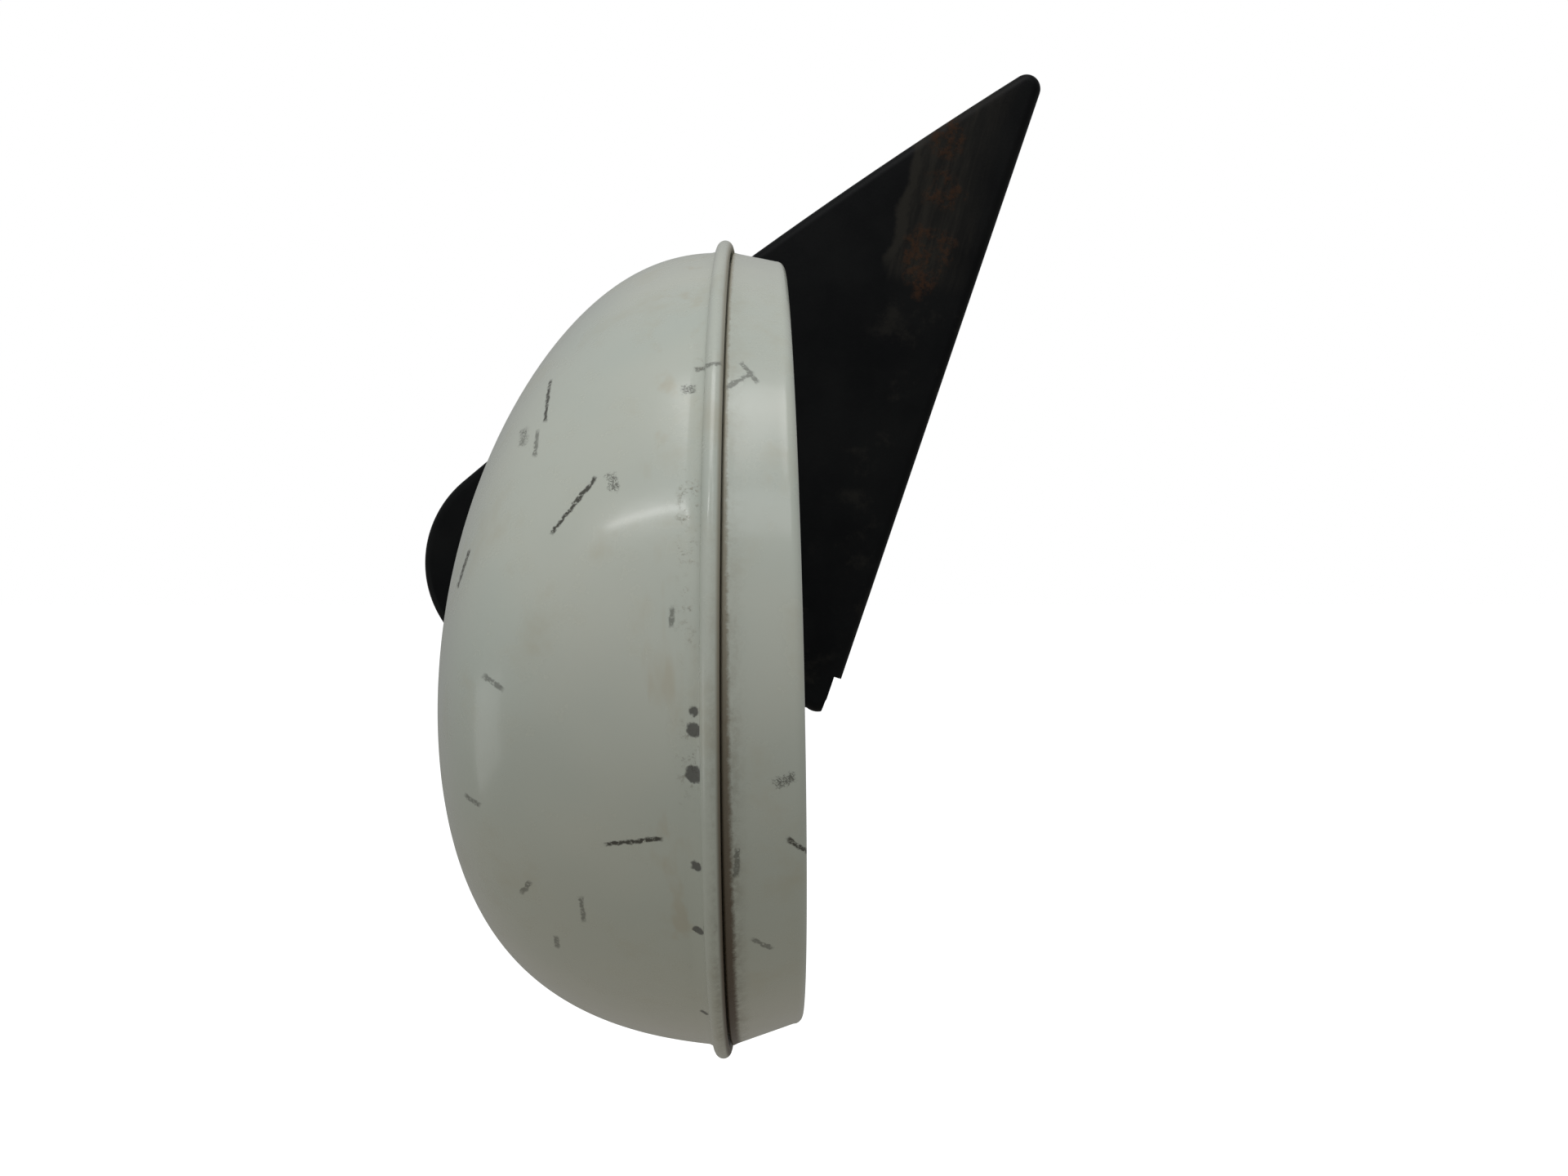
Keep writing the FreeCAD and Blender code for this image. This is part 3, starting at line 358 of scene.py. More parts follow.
def scatter_rubs():
    """Strokes (start, end, half width, dark) at any place and slope on the rubbed stretch."""
    draw = random.Random(5)
    strokes = []
    for count, half, long, dark in RUB_KINDS:
        for _ in range(count):
            x = (HEAD_X - draw.uniform(*RUBBED_FORWARD) * DEPTH) / MM
            z = (HEAD_Z + draw.uniform(*RUBBED_UP) * HALF_HIGH) / MM
            turn = math.radians(draw.uniform(-90, 90))
            reach = long / 2 * draw.uniform(0.5, 1.0)
            along = (reach * math.cos(turn), reach * math.sin(turn))
            strokes.append(((x - along[0], z - along[1]), (x + along[0], z + along[1]), half, dark))
    return strokes


def chip_spots():
    """Chips (centre, radius, dark) scattered along the bead."""
    draw = random.Random(8)
    spots = []
    for _ in range(CHIP_COUNT):
        turn = math.radians(draw.uniform(*CHIP_BELOW))
        y = (HEAD_Y - HALF_WIDE * math.cos(turn)) / MM
        z = (HEAD_Z - HALF_HIGH * math.sin(turn)) / MM
        spots.append(((HEAD_X / MM - CHIP_FORWARD, y, z), draw.uniform(*CHIP_RADIUS), CHIP_DARK))
    return spots


SCUFFS = scatter_rubs()
CHIPS = chip_spots()
GROOVE_X = (HEAD_X + BEAD_ROUND) / MM
print(len(SCUFFS), "scuffs,", len(CHIPS), "chips, groove at x", round(GROOVE_X, 2))

# %% [markdown]
# ## Base coat, grime and painted shade
# Old enamel yellows unevenly, so the base blends two whites by a slow noise; its lower half is painted
# darker and warmer as shade. Grime on the real head is packed into the groove behind the bead, so its mask
# follows the distance behind the groove and grows towards the bottom, where its brown is painted near black
# as shade. A texture image would show seams; masks don't.
# %% Base coat, grime and painted shade


def layered(masks):
    """The strongest of several masks."""
    total = masks[0]
    for mask in masks[1:]:
        total = total.top(mask)
    return total


def base_coat_and_low_shade(paint, film):
    """Two whites in slow clouds, a yellow film, and a lower half painted darker and warmer as shade."""
    cloud = paint.noise(55, detail=3)
    colour = paint.mix(cloud.between(0.35, 0.65), (0.565, 0.612, 0.548), (0.628, 0.65, 0.57))
    colour = paint.mix(film.between(0.5, 0.8) * 0.35, colour, (0.50, 0.46, 0.33))
    # Painted shade: the lower half is mixed towards a darker, warmer colour.
    return paint.mix(paint.z.fade(-112, -40) * 0.35, colour, (0.46, 0.42, 0.27))


def groove_grime(paint, film, specks, low_part):
    """Dirt in the groove, a thin halo round it, and a speckled foot in front of the bead."""
    behind = paint.x - GROOVE_X
    reach = low_part * 0.7 + specks * 1.2 - 0.25
    seam = behind.fade(reach, reach + 0.5 + low_part * 0.5) * behind.between(-0.7, -0.1)
    halo = paint.x.band(GROOVE_X + 0.6, 0.5, 2.6) * (low_part * 0.75 + 0.25)
    halo = halo * (specks * 0.55 + film * 0.45).between(0.40, 0.62)
    foot = paint.x.band(GROOVE_X - 3.9, 0.5, 1.6) * specks.between(0.52, 0.66)
    foot = foot * paint.noise(9).between(0.42, 0.6) * paint.z.band(-30, 22, 14)
    return (seam * (low_part * 0.4 + 0.55)).top(halo * 0.4).top(foot * 0.5).low(1.0)


def rust_water(paint):
    """Faint drips in front of the bead, drawn out downwards."""
    drips = paint.noise(5, detail=3, place=paint.spread(scale=(1, 1, 3.5))).between(0.56, 0.72)
    return drips * paint.x.band(GROOVE_X - 6.5, 1.5, 3.5) * 0.2


print("base coat, grime and rust water are ready")

# %% [markdown]
# ## Scuffs and chips
# Scuffs come from a passing car or a garage door: thin lines stay whole, and broad rubs break up into
# hairs. Chips go through to primer. Both are drawn at set places, with their edges shaken by noise so
# that they tear.
# %% Scuffs, chips and the whole enamel


def scuff_mask(paint, ragged):
    """Fine lines and broad hairy rubs on the outboard face."""
    torn = paint.jitter(0.45, 0.8)
    fine = [paint.stroke(ragged, ends, half) * dark for *ends, half, dark in SCUFFS if half < BROAD]
    broad = [
        paint.stroke(torn, ends, half * 0.8, 0.5) * dark for *ends, half, dark in SCUFFS if half >= BROAD
    ]
    hairs = paint.noise(0.3, detail=3, place=paint.spread(turn=(0, 40, 0), scale=(2.5, 1, 0.8)), warp=1.5)
    lines = layered(fine) * paint.noise(0.4, detail=2).between(0.25, 0.5)
    return lines.top(layered(broad) * hairs.between(0.40, 0.54)) * paint.y.fade(-195, -185)


def white_paint():
    """Yellowed enamel with grime, rust water, scuffs and chips, in that order; the lower half and the grime's
    brown are painted darker as shade.
    """
    paint = Finish("aged_white_enamel", roughness=0.3, Coat_Weight=0.25, Coat_Roughness=0.12)
    paint.shader.inputs["Specular IOR Level"].default_value = 0.4
    film = paint.noise(10, detail=6, rough=0.65)
    specks = paint.noise(0.9, detail=5, rough=0.75)
    low_part = paint.z.fade(-95, 0)
    ragged = paint.jitter(0.8, 0.4)
    grime = groove_grime(paint, film, specks, low_part)
    scuff = scuff_mask(paint, ragged)
    chips = layered([paint.spot(ragged, spot, radius) * dark for spot, radius, dark in CHIPS])

    # Painted shade: the grime's brown turns near black towards the bottom, over the dirt's own colour.
    grime_brown_and_low_shade = paint.mix(low_part, (0.26, 0.20, 0.115), (0.075, 0.042, 0.017))
    primer = paint.mix(specks, (0.012, 0.014, 0.017), (0.06, 0.052, 0.045))
    colour = paint.mix(grime, base_coat_and_low_shade(paint, film), grime_brown_and_low_shade)
    colour = paint.mix(rust_water(paint), colour, (0.42, 0.27, 0.09))
    colour = paint.mix((scuff * 1.15).low(1.0), colour, (0.030, 0.027, 0.017))
    colour = paint.mix(chips, colour, primer)

    wavy = paint.bump(paint.noise(30, detail=1), 0.25)
    peel = paint.bump(paint.noise(1.5, detail=1), 0.008, under=wavy)
    bump = paint.bump(grime * specks - chips * 0.6, 0.12, under=peel)
    rough = film.between(0.35, 0.75) * 0.10 + 0.22 + grime * 0.5 + scuff * 0.25 + chips * 0.3
    return paint.wire(Base_Color=colour, Roughness=rough.low(0.9), Normal=bump)


BROAD = 0.3
WHITE = white_paint()
print("white enamel:", len(WHITE.node_tree.nodes), "nodes")

# %% [markdown]
# ## Black paint on the sail
# The sail's paint has gone matte. Rubbing has worn a stretch of it grey beside a slanting line, and rust
# comes through in patches. A Mapping node set on that line gives the distance across it and along it, so
# the wear, its lighter border and its streaks all follow the same slant.
# %% Black paint


# The sail's worn stretch: its foot as shares of the sail's box, and how far it leans from upright.
sail_low, sail_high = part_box("sail_cover")
WEAR_SHARES = (0.75, 0.7)
WEAR_LEAN = 15.0
WEAR_END = [(sail_low[i] + share * (sail_high[i] - sail_low[i])) / MM for i, share in zip((0, 2), WEAR_SHARES)]


def rust_patches(count=8):
    """Rust (centre, radius) scattered over the worn stretch."""
    draw = random.Random(3)
    lean = math.radians(WEAR_LEAN)
    patches = []
    for _ in range(count):
        along, aside = draw.uniform(-4, 48), draw.uniform(2, 13)
        x = WEAR_END[0] + aside * math.cos(lean) + along * math.sin(lean)
        z = WEAR_END[1] - aside * math.sin(lean) + along * math.cos(lean)
        patches.append(((x, -12.0, z), draw.uniform(2, 4.5)))
    return patches


RUST = rust_patches()


def black_paint():
    """Matte black paint on steel: grey streaks where it is worn, and rust coming through."""
    paint = Finish("weathered_black_paint", roughness=0.5)
    paint.shader.inputs["Specular IOR Level"].default_value = 0.1
    run = paint.spread((WEAR_END[0], 0, WEAR_END[1]), (0, WEAR_LEAN, 0))
    aside, _, along = (axis / MM for axis in paint.axes(run))
    cloud = paint.noise(26, detail=5, rough=0.6)
    streak = paint.noise(2.2, detail=5, rough=0.65, place=paint.spread(turn=(0, WEAR_LEAN, 0), scale=(1, 1, 9)))
    ragged = paint.noise(7, detail=4)
    edge = aside + (ragged - 0.5) * 6
    worn = edge.between(-0.5, 1.2) * along.between(-6, 0) * edge.fade(13, 26)
    rim = edge.band(0.6, 0.6, 2.0) * along.between(-4, 4)
    colour = paint.mix(cloud.between(0.3, 0.7), (0.0018, 0.0022, 0.0028), (0.0055, 0.006, 0.0062))
    below = along.fade(-8, 2) * paint.noise(12, detail=5, rough=0.7).between(0.52, 0.7) * edge.between(-6, 6)
    grey = (worn * (streak.between(0.35, 0.7) * 0.6 + 0.3)).top(rim * 0.9).top(below * 0.45)
    colour = paint.mix(grey, colour, (0.024, 0.022, 0.018))
    rough_place = paint.jitter(6.0, 5.0)
    rust = layered([paint.spot(rough_place, spot, radius, 3.0) for spot, radius in RUST])
    rust = rust * paint.noise(2.6, detail=6, rough=0.75).between(0.42, 0.62)
    colour = paint.mix(rust * 0.45, colour, (0.075, 0.032, 0.014))
    bump = paint.bump(paint.noise(0.9, detail=4), 0.03, under=paint.bump(paint.noise(45, detail=1), 0.5))
    bump = paint.bump(rust * ragged, 0.12, under=bump)
    rough = cloud * 0.15 + 0.40 + rust * 0.25 + grey * 0.12
    return paint.wire(Base_Color=colour, Roughness=rough, Normal=bump)


print("black paint has", len(RUST), "rust patches")

# %% [markdown]
# ## Castings, rubber and foam
# The foot and arm are sand castings under satin black, so their grain is coarse. Rubber and foam are dull
# with a grey bloom; only their tone and grain differ, so one function makes all three.
# %% Castings, rubber and foam


def cast_black():
    """Satin black paint over a sand-cast surface."""
    paint = Finish("cast_black", roughness=0.55)
    sand = paint.noise(0.7, detail=3, rough=0.6)
    dust = paint.noise(12, detail=5).between(0.5, 0.75)
    colour = paint.mix(dust * 0.4, (0.016, 0.017, 0.018), (0.06, 0.056, 0.048))
    return paint.wire(Base_Color=colour, Roughness=0.45 + dust * 0.25, Normal=paint.bump(sand, 0.08))


def rubber(name, tone, grain):
    """Dull rubber with a fine skin and a grey bloom."""
    paint = Finish(name, roughness=0.7)
    bloom = paint.noise(8, detail=5).between(0.45, 0.8)
    colour = paint.mix(bloom * 0.5, (tone, tone, tone), (tone * 3, tone * 3, tone * 2.8))
    bump = paint.bump(paint.noise(grain, detail=3), 0.06)
    return paint.wire(Base_Color=colour, Roughness=0.62 + bloom * 0.2, Normal=bump)


print("castings, rubber and foam are ready")

# %% [markdown]
# ## Metals
# Zinc plate, spring steel, ground steel and bronze differ in tone, tint, gloss and grain. Their patterns
# are the same: mottling, fine drawn lines, and rust where the plate has gone. Galvanised sheet has its
# own spangle.
# %% Metals


def steel(name, tone, tint, rough, grain=0.5, rust=0.0):
    """Bare or plated steel with fine drawn lines, mottling and a little rust."""
    paint = Finish(name, metallic=1.0, roughness=rough)
    mottle = paint.noise(3.5, detail=5)
    lines = paint.noise(grain, detail=2, place=paint.spread(scale=(1, 6, 1)))
    light = tuple(tone * part for part in tint)
    dark = tuple(tone * part * 0.62 for part in tint)
    colour = paint.mix(mottle.between(0.35, 0.7), light, dark)
    rusty = paint.noise(5, detail=6, rough=0.7).between(0.60, 0.70) * rust
    colour = paint.mix(rusty, colour, (0.16, 0.06, 0.022))
    bump = paint.bump(lines, 0.01)
    return paint.wire(
        Base_Color=colour, Roughness=rough + mottle * 0.15 + rusty * 0.3, Metallic=1 - rusty, Normal=bump
    )


def galvanised():
    """Zinc sheet with a faint spangle."""
    paint = Finish("galvanised_sheet", metallic=1.0, roughness=0.45)
    spangle = paint.cells(4.5, out="Color")
    tone = paint.start.node("SeparateColor", {}, {0: spangle})
    colour = paint.mix(tone, (0.36, 0.37, 0.38), (0.50, 0.51, 0.52))
    bump = paint.bump(paint.noise(6, detail=3), 0.05)
    return paint.wire(Base_Color=colour, Roughness=0.38 + tone * 0.2, Normal=bump)


print("metals are ready")

# %% [markdown]
# ## Nylon, mirror glass and the list of finishes
# The liner is natural nylon, greasy in places. The glass is silvered behind, so it is made as a polished
# metal with a faint wiped film, which is plainer than a clear sheet over a metal one and looks the same.
# %% Nylon, glass and the list of finishes


def nylon():
    """Natural nylon, slightly greasy."""
    paint = Finish("natural_nylon", roughness=0.4, Subsurface_Weight=0.2)
    grease = paint.noise(5, detail=4).between(0.5, 0.7)
    colour = paint.mix(grease * 0.6, (0.68, 0.64, 0.52), (0.34, 0.28, 0.17))
    bump = paint.bump(paint.noise(1.2), 0.02)
    return paint.wire(Base_Color=colour, Roughness=0.42 - grease * 0.15, Normal=bump)


def silvering():
    """Mirror glass, bright with faint wipe marks and scattered specks."""
    paint = Finish("silvered_glass", metallic=1.0, roughness=0.03)
    wipe = paint.noise(26, detail=6, rough=0.6, place=paint.spread(scale=(1, 3, 1)))
    specks = 1 - paint.cells(9.0).between(0.02, 0.05)
    film = wipe.between(0.5, 0.85)
    colour = paint.mix((film * 0.12 + specks * 0.6).low(1.0), (0.82, 0.84, 0.85), (0.35, 0.34, 0.30))
    bump = paint.bump(paint.noise(120, detail=0), 0.05)
    return paint.wire(Base_Color=colour, Roughness=0.025 + film * 0.10 + specks * 0.3, Normal=bump)


FINISHES = {
    "white_paint": WHITE,
    "black_paint": black_paint(),
    "plate_paint": cast_black(),
    "gasket_rubber": rubber("gasket_rubber_skin", 0.02, 1.0),
    "plated_steel": steel("zinc_plated_steel", 0.62, (1.0, 0.97, 0.88), 0.30, rust=0.6),
    "spring_steel": steel("dark_spring_steel", 0.22, (1.0, 1.0, 1.02), 0.32),
    "ball_steel": steel("ground_steel", 0.60, (1.0, 1.0, 1.0), 0.16, grain=0.25),
    "bush_bronze": steel("sintered_bronze", 0.60, (1.0, 0.66, 0.33), 0.38),
    "liner_nylon": nylon(),
    "bracket_steel": galvanised(),
    "mirror_glass": silvering(),
    "seal_rubber": rubber("seal_rubber_skin", 0.018, 0.7),
    "foam": rubber("foam_cells", 0.05, 0.5),
}
FINISHES["casting"] = FINISHES["plate_paint"]
print("finishes:", ", ".join(sorted(FINISHES)))

# %% [markdown]
# ## The dome
# The press drew the shell from one sheet, so it is modelled as one closed wall: the outer skin from its
# tip to the bead, round the bead, and back along the inside. The stations crowd towards the tip, where it
# curves most.
# %% Dome and bead
SIDE_POWER = 6.8
TOP_POWER, TOP_ROUND = 2.28, 0.64
BOTTOM_POWER, BOTTOM_ROUND = 2.46, 0.30
RISE = 2.1 * MM
LEAN = 7.2 * MM
# Shallow dents, drawn at random on the lower outboard side: how many, how far one runs out, how deep.
DENT_COUNT = 3
DENT_REACH = (12.0, 18.0)
DENT_DEEP = (0.3, 0.5)
DENT_FORWARD = (0.2, 0.8)
DENT_BELOW = (0, 40)


def dent_spots():
    """Dents (centre, reach, deep) on the wall of the dome."""
    draw = random.Random(7)
    spots = []
    for _ in range(DENT_COUNT):
        forward = draw.uniform(*DENT_FORWARD)
        turn = math.radians(draw.uniform(*DENT_BELOW))
        half_y = HALF_WIDE * math.sqrt(1 - forward**SIDE_POWER)
        half_z = HALF_HIGH * (1 - forward**BOTTOM_POWER) ** BOTTOM_ROUND
        place = (HEAD_X - DEPTH * forward, HEAD_Y - half_y * math.cos(turn), HEAD_Z - half_z * math.sin(turn))
        spots.append(([v / MM for v in place], draw.uniform(*DENT_REACH), draw.uniform(*DENT_DEEP)))
    return spots


OUTER_STEPS = 64
INNER_STEPS = 24


def dome_place(reach, wall=0.0):
    """The dome's oval at a share of its depth, 0 at the bead and 1 at the tip."""
    half_y = (HALF_WIDE - wall) * math.sqrt(1 - reach**SIDE_POWER)
    top = (HALF_HIGH - wall) * (1 - reach**TOP_POWER) ** TOP_ROUND
    bottom = (HALF_HIGH - wall) * (1 - reach**BOTTOM_POWER) ** BOTTOM_ROUND
    x = HEAD_X - (DEPTH - wall) * reach
    z = HEAD_Z + (top - bottom) / 2 + RISE * reach
    return oval_matrix(half_y, (top + bottom) / 2, x, HEAD_Y + LEAN * reach, z)


def reaches(steps, last=89.6):
    """Shares of the depth, closer together towards the tip."""
    return [math.sin(math.radians(last * step / steps)) for step in range(steps + 1)]


def bead_places():
    """Ovals over the rolled bead, from its foot on the dome to the inside of the wall."""
    places = []
    for angle in range(205, -100, -15):
        turn = math.radians(angle)
        out = BEAD_STAND + BEAD_ROUND * math.sin(turn)
        x = HEAD_X + BEAD_ROUND * math.cos(turn)
        places.append(oval_matrix(HALF_WIDE + out, HALF_HIGH + out, x, HEAD_Y, HEAD_Z))
    inner = -WALL
    places.append(oval_matrix(HALF_WIDE + inner, HALF_HIGH + inner, HEAD_X + 0.1 * MM, HEAD_Y, HEAD_Z))
    return places


def press_dents(bm):
    """Push the wall in, softly, round each dent."""
    for centre, reach, deep in dent_spots():
        spot = Vector(centre) * MM
        inward = (Vector((HEAD_X, HEAD_Y, HEAD_Z)) - spot).normalized()
        for vertex in bm.verts:
            near = max(0.0, 1 - (vertex.co - spot).length / (reach * MM))
            vertex.co += inward * deep * MM * near**2 * (3 - 2 * near)


def head_shell():
    """The whole pressed shell as one closed wall."""
    bm = bmesh.new()
    foot_reach = (BEAD_ROUND + 0.9 * MM) / DEPTH
    outer = [dome_place(reach) for reach in reversed(reaches(OUTER_STEPS)) if reach > foot_reach]
    inner = [dome_place(reach, WALL) for reach in reaches(INNER_STEPS)]
    tip, last = skin(bm, outer + bead_places() + inner[1:])
    shut(bm, tip)
    shut(bm, last)
    press_dents(bm)
    return bm


shell_bm = head_shell()
print("dome:", len(shell_bm.faces), "faces before the slot")

# %% [markdown]
# The arm's stem enters through a slot in the inboard wall. A cutter shaped like the slot is taken away
# with a boolean, because the slot's round ends don't follow the dome's grid.
# %% Stem slot
STEM_ROUND = 7.0 * MM
SWING = math.radians(10)
ball_low, ball_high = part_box("ball_liner")
BALL_X = (ball_low[0] + ball_high[0]) / 2
BALL_Z = (ball_low[2] + ball_high[2]) / 2
BALL_Y = -72 * MM


def slot_cutter():
    """A bar with round ends, across the inboard wall."""
    inboard = HEAD_Y + HALF_WIDE - BALL_Y
    half_high = STEM_ROUND + MM + inboard * math.sin(SWING) ** 2
    half_long = STEM_ROUND + MM + inboard * math.tan(SWING)
    bm = bmesh.new()
    turn = Matrix.Rotation(math.radians(-90), 4, "X")
    turn = Matrix.Translation((BALL_X, BALL_Y + inboard / 2, BALL_Z)) @ turn
    made = bmesh.ops.create_circle(bm, cap_ends=True, radius=half_high, segments=48)
    for vertex in made["verts"]:
        vertex.co.x += math.copysign(half_long - half_high, vertex.co.x)
    bmesh.ops.transform(bm, matrix=turn, verts=bm.verts)
    face = bmesh.ops.extrude_face_region(bm, geom=bm.faces[:])
    lifted = [part for part in face["geom"] if isinstance(part, bmesh.types.BMVert)]
    bmesh.ops.translate(bm, vec=(0, inboard, 0), verts=lifted)
    bmesh.ops.recalc_face_normals(bm, faces=bm.faces)
    mesh = bpy.data.meshes.new("slot_cutter")
    bm.to_mesh(mesh)
    bm.free()
    return bpy.data.objects.new("slot_cutter", mesh)


def take_away(piece, cutter):
    """Cut one closed mesh out of another and keep the result in the piece."""
    bpy.context.scene.collection.objects.link(cutter)
    step = piece.modifiers.new("cut", "BOOLEAN")
    step.operation = "DIFFERENCE"
    step.object = cutter
    step.solver = "EXACT"
    solved = piece.evaluated_get(bpy.context.evaluated_depsgraph_get())
    result = bpy.data.meshes.new_from_object(solved)
    piece.modifiers.remove(step)
    piece.data = result
    result.set_sharp_from_angle(angle=SHARP_FROM)
    bpy.data.objects.remove(cutter)


shell = finish_mesh(shell_bm, "pressed_shell", "head", WHITE, replaces=["head_shell"])
take_away(shell, slot_cutter())
print("shell with slot:", len(shell.data.polygons), "faces")

# %% [markdown]
# ## The rim ring
# A second pressing closes the head: it tapers from the groove behind the bead to a rounded rim, then
# turns in over the glass. Its rim leans, so the ring is deeper below than above. A shear in each oval's
# place makes that lean grow steadily from the groove to the rim.
# %% Rim ring
RIM_LEAN = math.tan(math.radians(1.3))
RING_FRONT = HEAD_X + BEAD_ROUND + 0.1 * MM
RIM_X = HEAD_X + 11.3 * MM
RIM_ROUND = 1.5 * MM
EDGE = 0.35 * MM
RIM_IN_Y = 1.8 * MM
RIM_IN_Z = 2.4 * MM
RIM_RISE = 1.0 * MM
seal_low, seal_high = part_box("glass_seal")
LIP_Y = (seal_high[1] - seal_low[1]) / 2 - 4.2 * MM
LIP_Z = (seal_high[2] - seal_low[2]) / 2 - 4.2 * MM
LIP_X = seal_high[0] + 0.1 * MM


def ring_place(x, inset, share):
    """The collar's oval at x, drawn in by inset; share runs from 0 at the groove to 1 at the rim."""
    half_y = HALF_WIDE - RIM_IN_Y * share - inset
    half_z = HALF_HIGH - RIM_IN_Z * share - inset
    return oval_matrix(half_y, half_z, x, HEAD_Y, HEAD_Z + RIM_RISE * share, -RIM_LEAN * share)


def rim_ring():
    """Collar, rounded rim, turned-in lip and the spigot inside the shell."""
    bm = bmesh.new()
    long = RIM_X - RING_FRONT
    places = [
        ring_place(RING_FRONT - 3.0 * MM, 1.7 * MM, 0.0),
        ring_place(RING_FRONT + 0.2 * MM, 1.7 * MM, 0.0),
        ring_place(RING_FRONT, EDGE + 0.1 * MM, 0.0),
    ]
    for step in range(5):
        turn = math.radians(90 - 22.5 * step)
        x = RING_FRONT + EDGE * (1 - math.sin(turn))
        places.append(ring_place(x, EDGE * (1 - math.cos(turn)) + 0.02 * MM, 0.0))
    for step in range(1, 9):
        share = step / 9
        places.append(ring_place(RING_FRONT + (long - RIM_ROUND) * share, 0.0, share))
    for step in range(9):
        turn = math.radians(11.25 * step)
        x = RIM_X - RIM_ROUND + RIM_ROUND * math.sin(turn)
        places.append(ring_place(x, RIM_ROUND * (1 - math.cos(turn)), 1.0))
    glass_z = HEAD_Z + 0.5 * MM
    round_y, round_z = LIP_Y + 0.5 * MM, LIP_Z + 0.5 * MM
    places.append(oval_matrix(round_y, round_z, RIM_X - 0.1 * MM, HEAD_Y, glass_z, -RIM_LEAN))
    places.append(oval_matrix(LIP_Y, LIP_Z, RIM_X - 0.6 * MM, HEAD_Y, glass_z, -RIM_LEAN))
    places.append(oval_matrix(LIP_Y, LIP_Z, LIP_X, HEAD_Y, glass_z))
    places.append(oval_matrix(LIP_Y + 3.8 * MM, LIP_Z + 3.8 * MM, LIP_X, HEAD_Y, glass_z))
    places.append(ring_place(RING_FRONT - 3.0 * MM, 2.9 * MM, 0.0))
    first, last = skin(bm, places)
    bmesh.ops.bridge_loops(bm, edges=first["edges"] + last["edges"])
    return bm


finish_mesh(rim_ring(), "rim_pressing", "head", WHITE, replaces=["rim_ring"])

# %% [markdown]
# ## The sail
# The sail is a flat pressing with its edge rolled over. Its outline has three round corners and gently
# bowed or straight edges between them, so it is drawn from arcs. The flat sheet is extruded to the
# skirt's depth, and the edge of its face is bevelled.
# %% Sail outline
CORNERS = {
    "nose": (-65.0, -27.7, 31.0),
    "corner": (18.3, -66.2, 5.0),
    "apex": (79.4, 111.2, 4.2),
}
FRONT_ROUND = 1450.0


def straight_normal(first, second):
    """Angle of the outward normal of the straight edge between two round corners."""
    along_x, along_z = second[0] - first[0], second[1] - first[1]
    apart = math.hypot(along_x, along_z)
    return math.atan2(along_z, along_x) - math.pi / 2 + math.asin((second[2] - first[2]) / apart)


def bow_centre(first, second, radius):
    """Centre of the large arc that touches two round corners."""
    along_x, along_z = second[0] - first[0], second[1] - first[1]
    apart = math.hypot(along_x, along_z)
    near, far = radius - first[2], radius - second[2]
    along = (near**2 - far**2 + apart**2) / (2 * apart)
    aside = math.sqrt(near**2 - along**2)
    x = first[0] + (along * along_x + aside * along_z) / apart
    z = first[1] + (along * along_z - aside * along_x) / apart
    return x, z


def arc(centre, radius, start, end, steps):
    """Points on an arc, counter-clockwise from start to end."""
    if end < start:
        end += 2 * math.pi
    turns = [start + (end - start) * step / steps for step in range(steps + 1)]
    return [(centre[0] + radius * math.cos(turn), centre[1] + radius * math.sin(turn)) for turn in turns]


def sail_points(inset=0.0):
    """The sail's outline, in millimetres, as (x, z)."""
    nose, corner, apex = ((x, z, radius - inset) for x, z, radius in CORNERS.values())
    bottom, rear = straight_normal(nose, corner), straight_normal(corner, apex)
    centre = bow_centre(nose, apex, FRONT_ROUND - inset)
    at_nose = math.atan2(nose[1] - centre[1], nose[0] - centre[0])
    at_apex = math.atan2(apex[1] - centre[1], apex[0] - centre[0])
    points = arc(nose, nose[2], at_nose, bottom, 48)
    points += arc(corner, corner[2], bottom, rear, 12)
    points += arc(apex, apex[2], rear, at_apex, 16)
    points += arc(centre, FRONT_ROUND - inset, at_apex, at_nose, 24)[1:-1]
    return points


print("sail outline:", len(sail_points()), "points")

# %% [markdown]
# ## Sail cover
# The real cover is pressed from sheet: a face, a rolled edge and a skirt, open behind, with a notch at
# its lower rear corner. A solid bar with a bevelled rim gives the outside; a smaller bar hollows it and
# another cuts the notch, which keeps the wall even all round.
# %% Sail cover
SAIL_DEEP = -sail_low[1]
SKIRT_END = sail_high[1]
ROLL = 3.0 * MM
SAIL_WALL = 1.5 * MM
NOTCH_DEEP, NOTCH_TOP, NOTCH_LONG = 2.5, 6.6, 22.0


def outline_face(bm, points, y):
    """A flat face across the Y axis through a closed row of points."""
    verts = [bm.verts.new((x * MM, y, z * MM)) for x, z in points]
    return bm.faces.new(verts)


def bar(points, low, high):
    """A closed bar with this outline, between two places on the Y axis."""
    bm = bmesh.new()
    face = outline_face(bm, points, low)
    lifted = bmesh.ops.extrude_face_region(bm, geom=[face])["geom"]
    back = [part for part in lifted if isinstance(part, bmesh.types.BMVert)]
    bmesh.ops.translate(bm, vec=(0, high - low, 0), verts=back)
    bmesh.ops.recalc_face_normals(bm, faces=bm.faces)
    return bm


def cutter(name, points, low, high):
    """A bar as an object, to be taken away from a piece."""
    bm = bar(points, low, high)
    mesh = bpy.data.meshes.new(name)
    bm.to_mesh(mesh)
    bm.free()
    return bpy.data.objects.new(name, mesh)


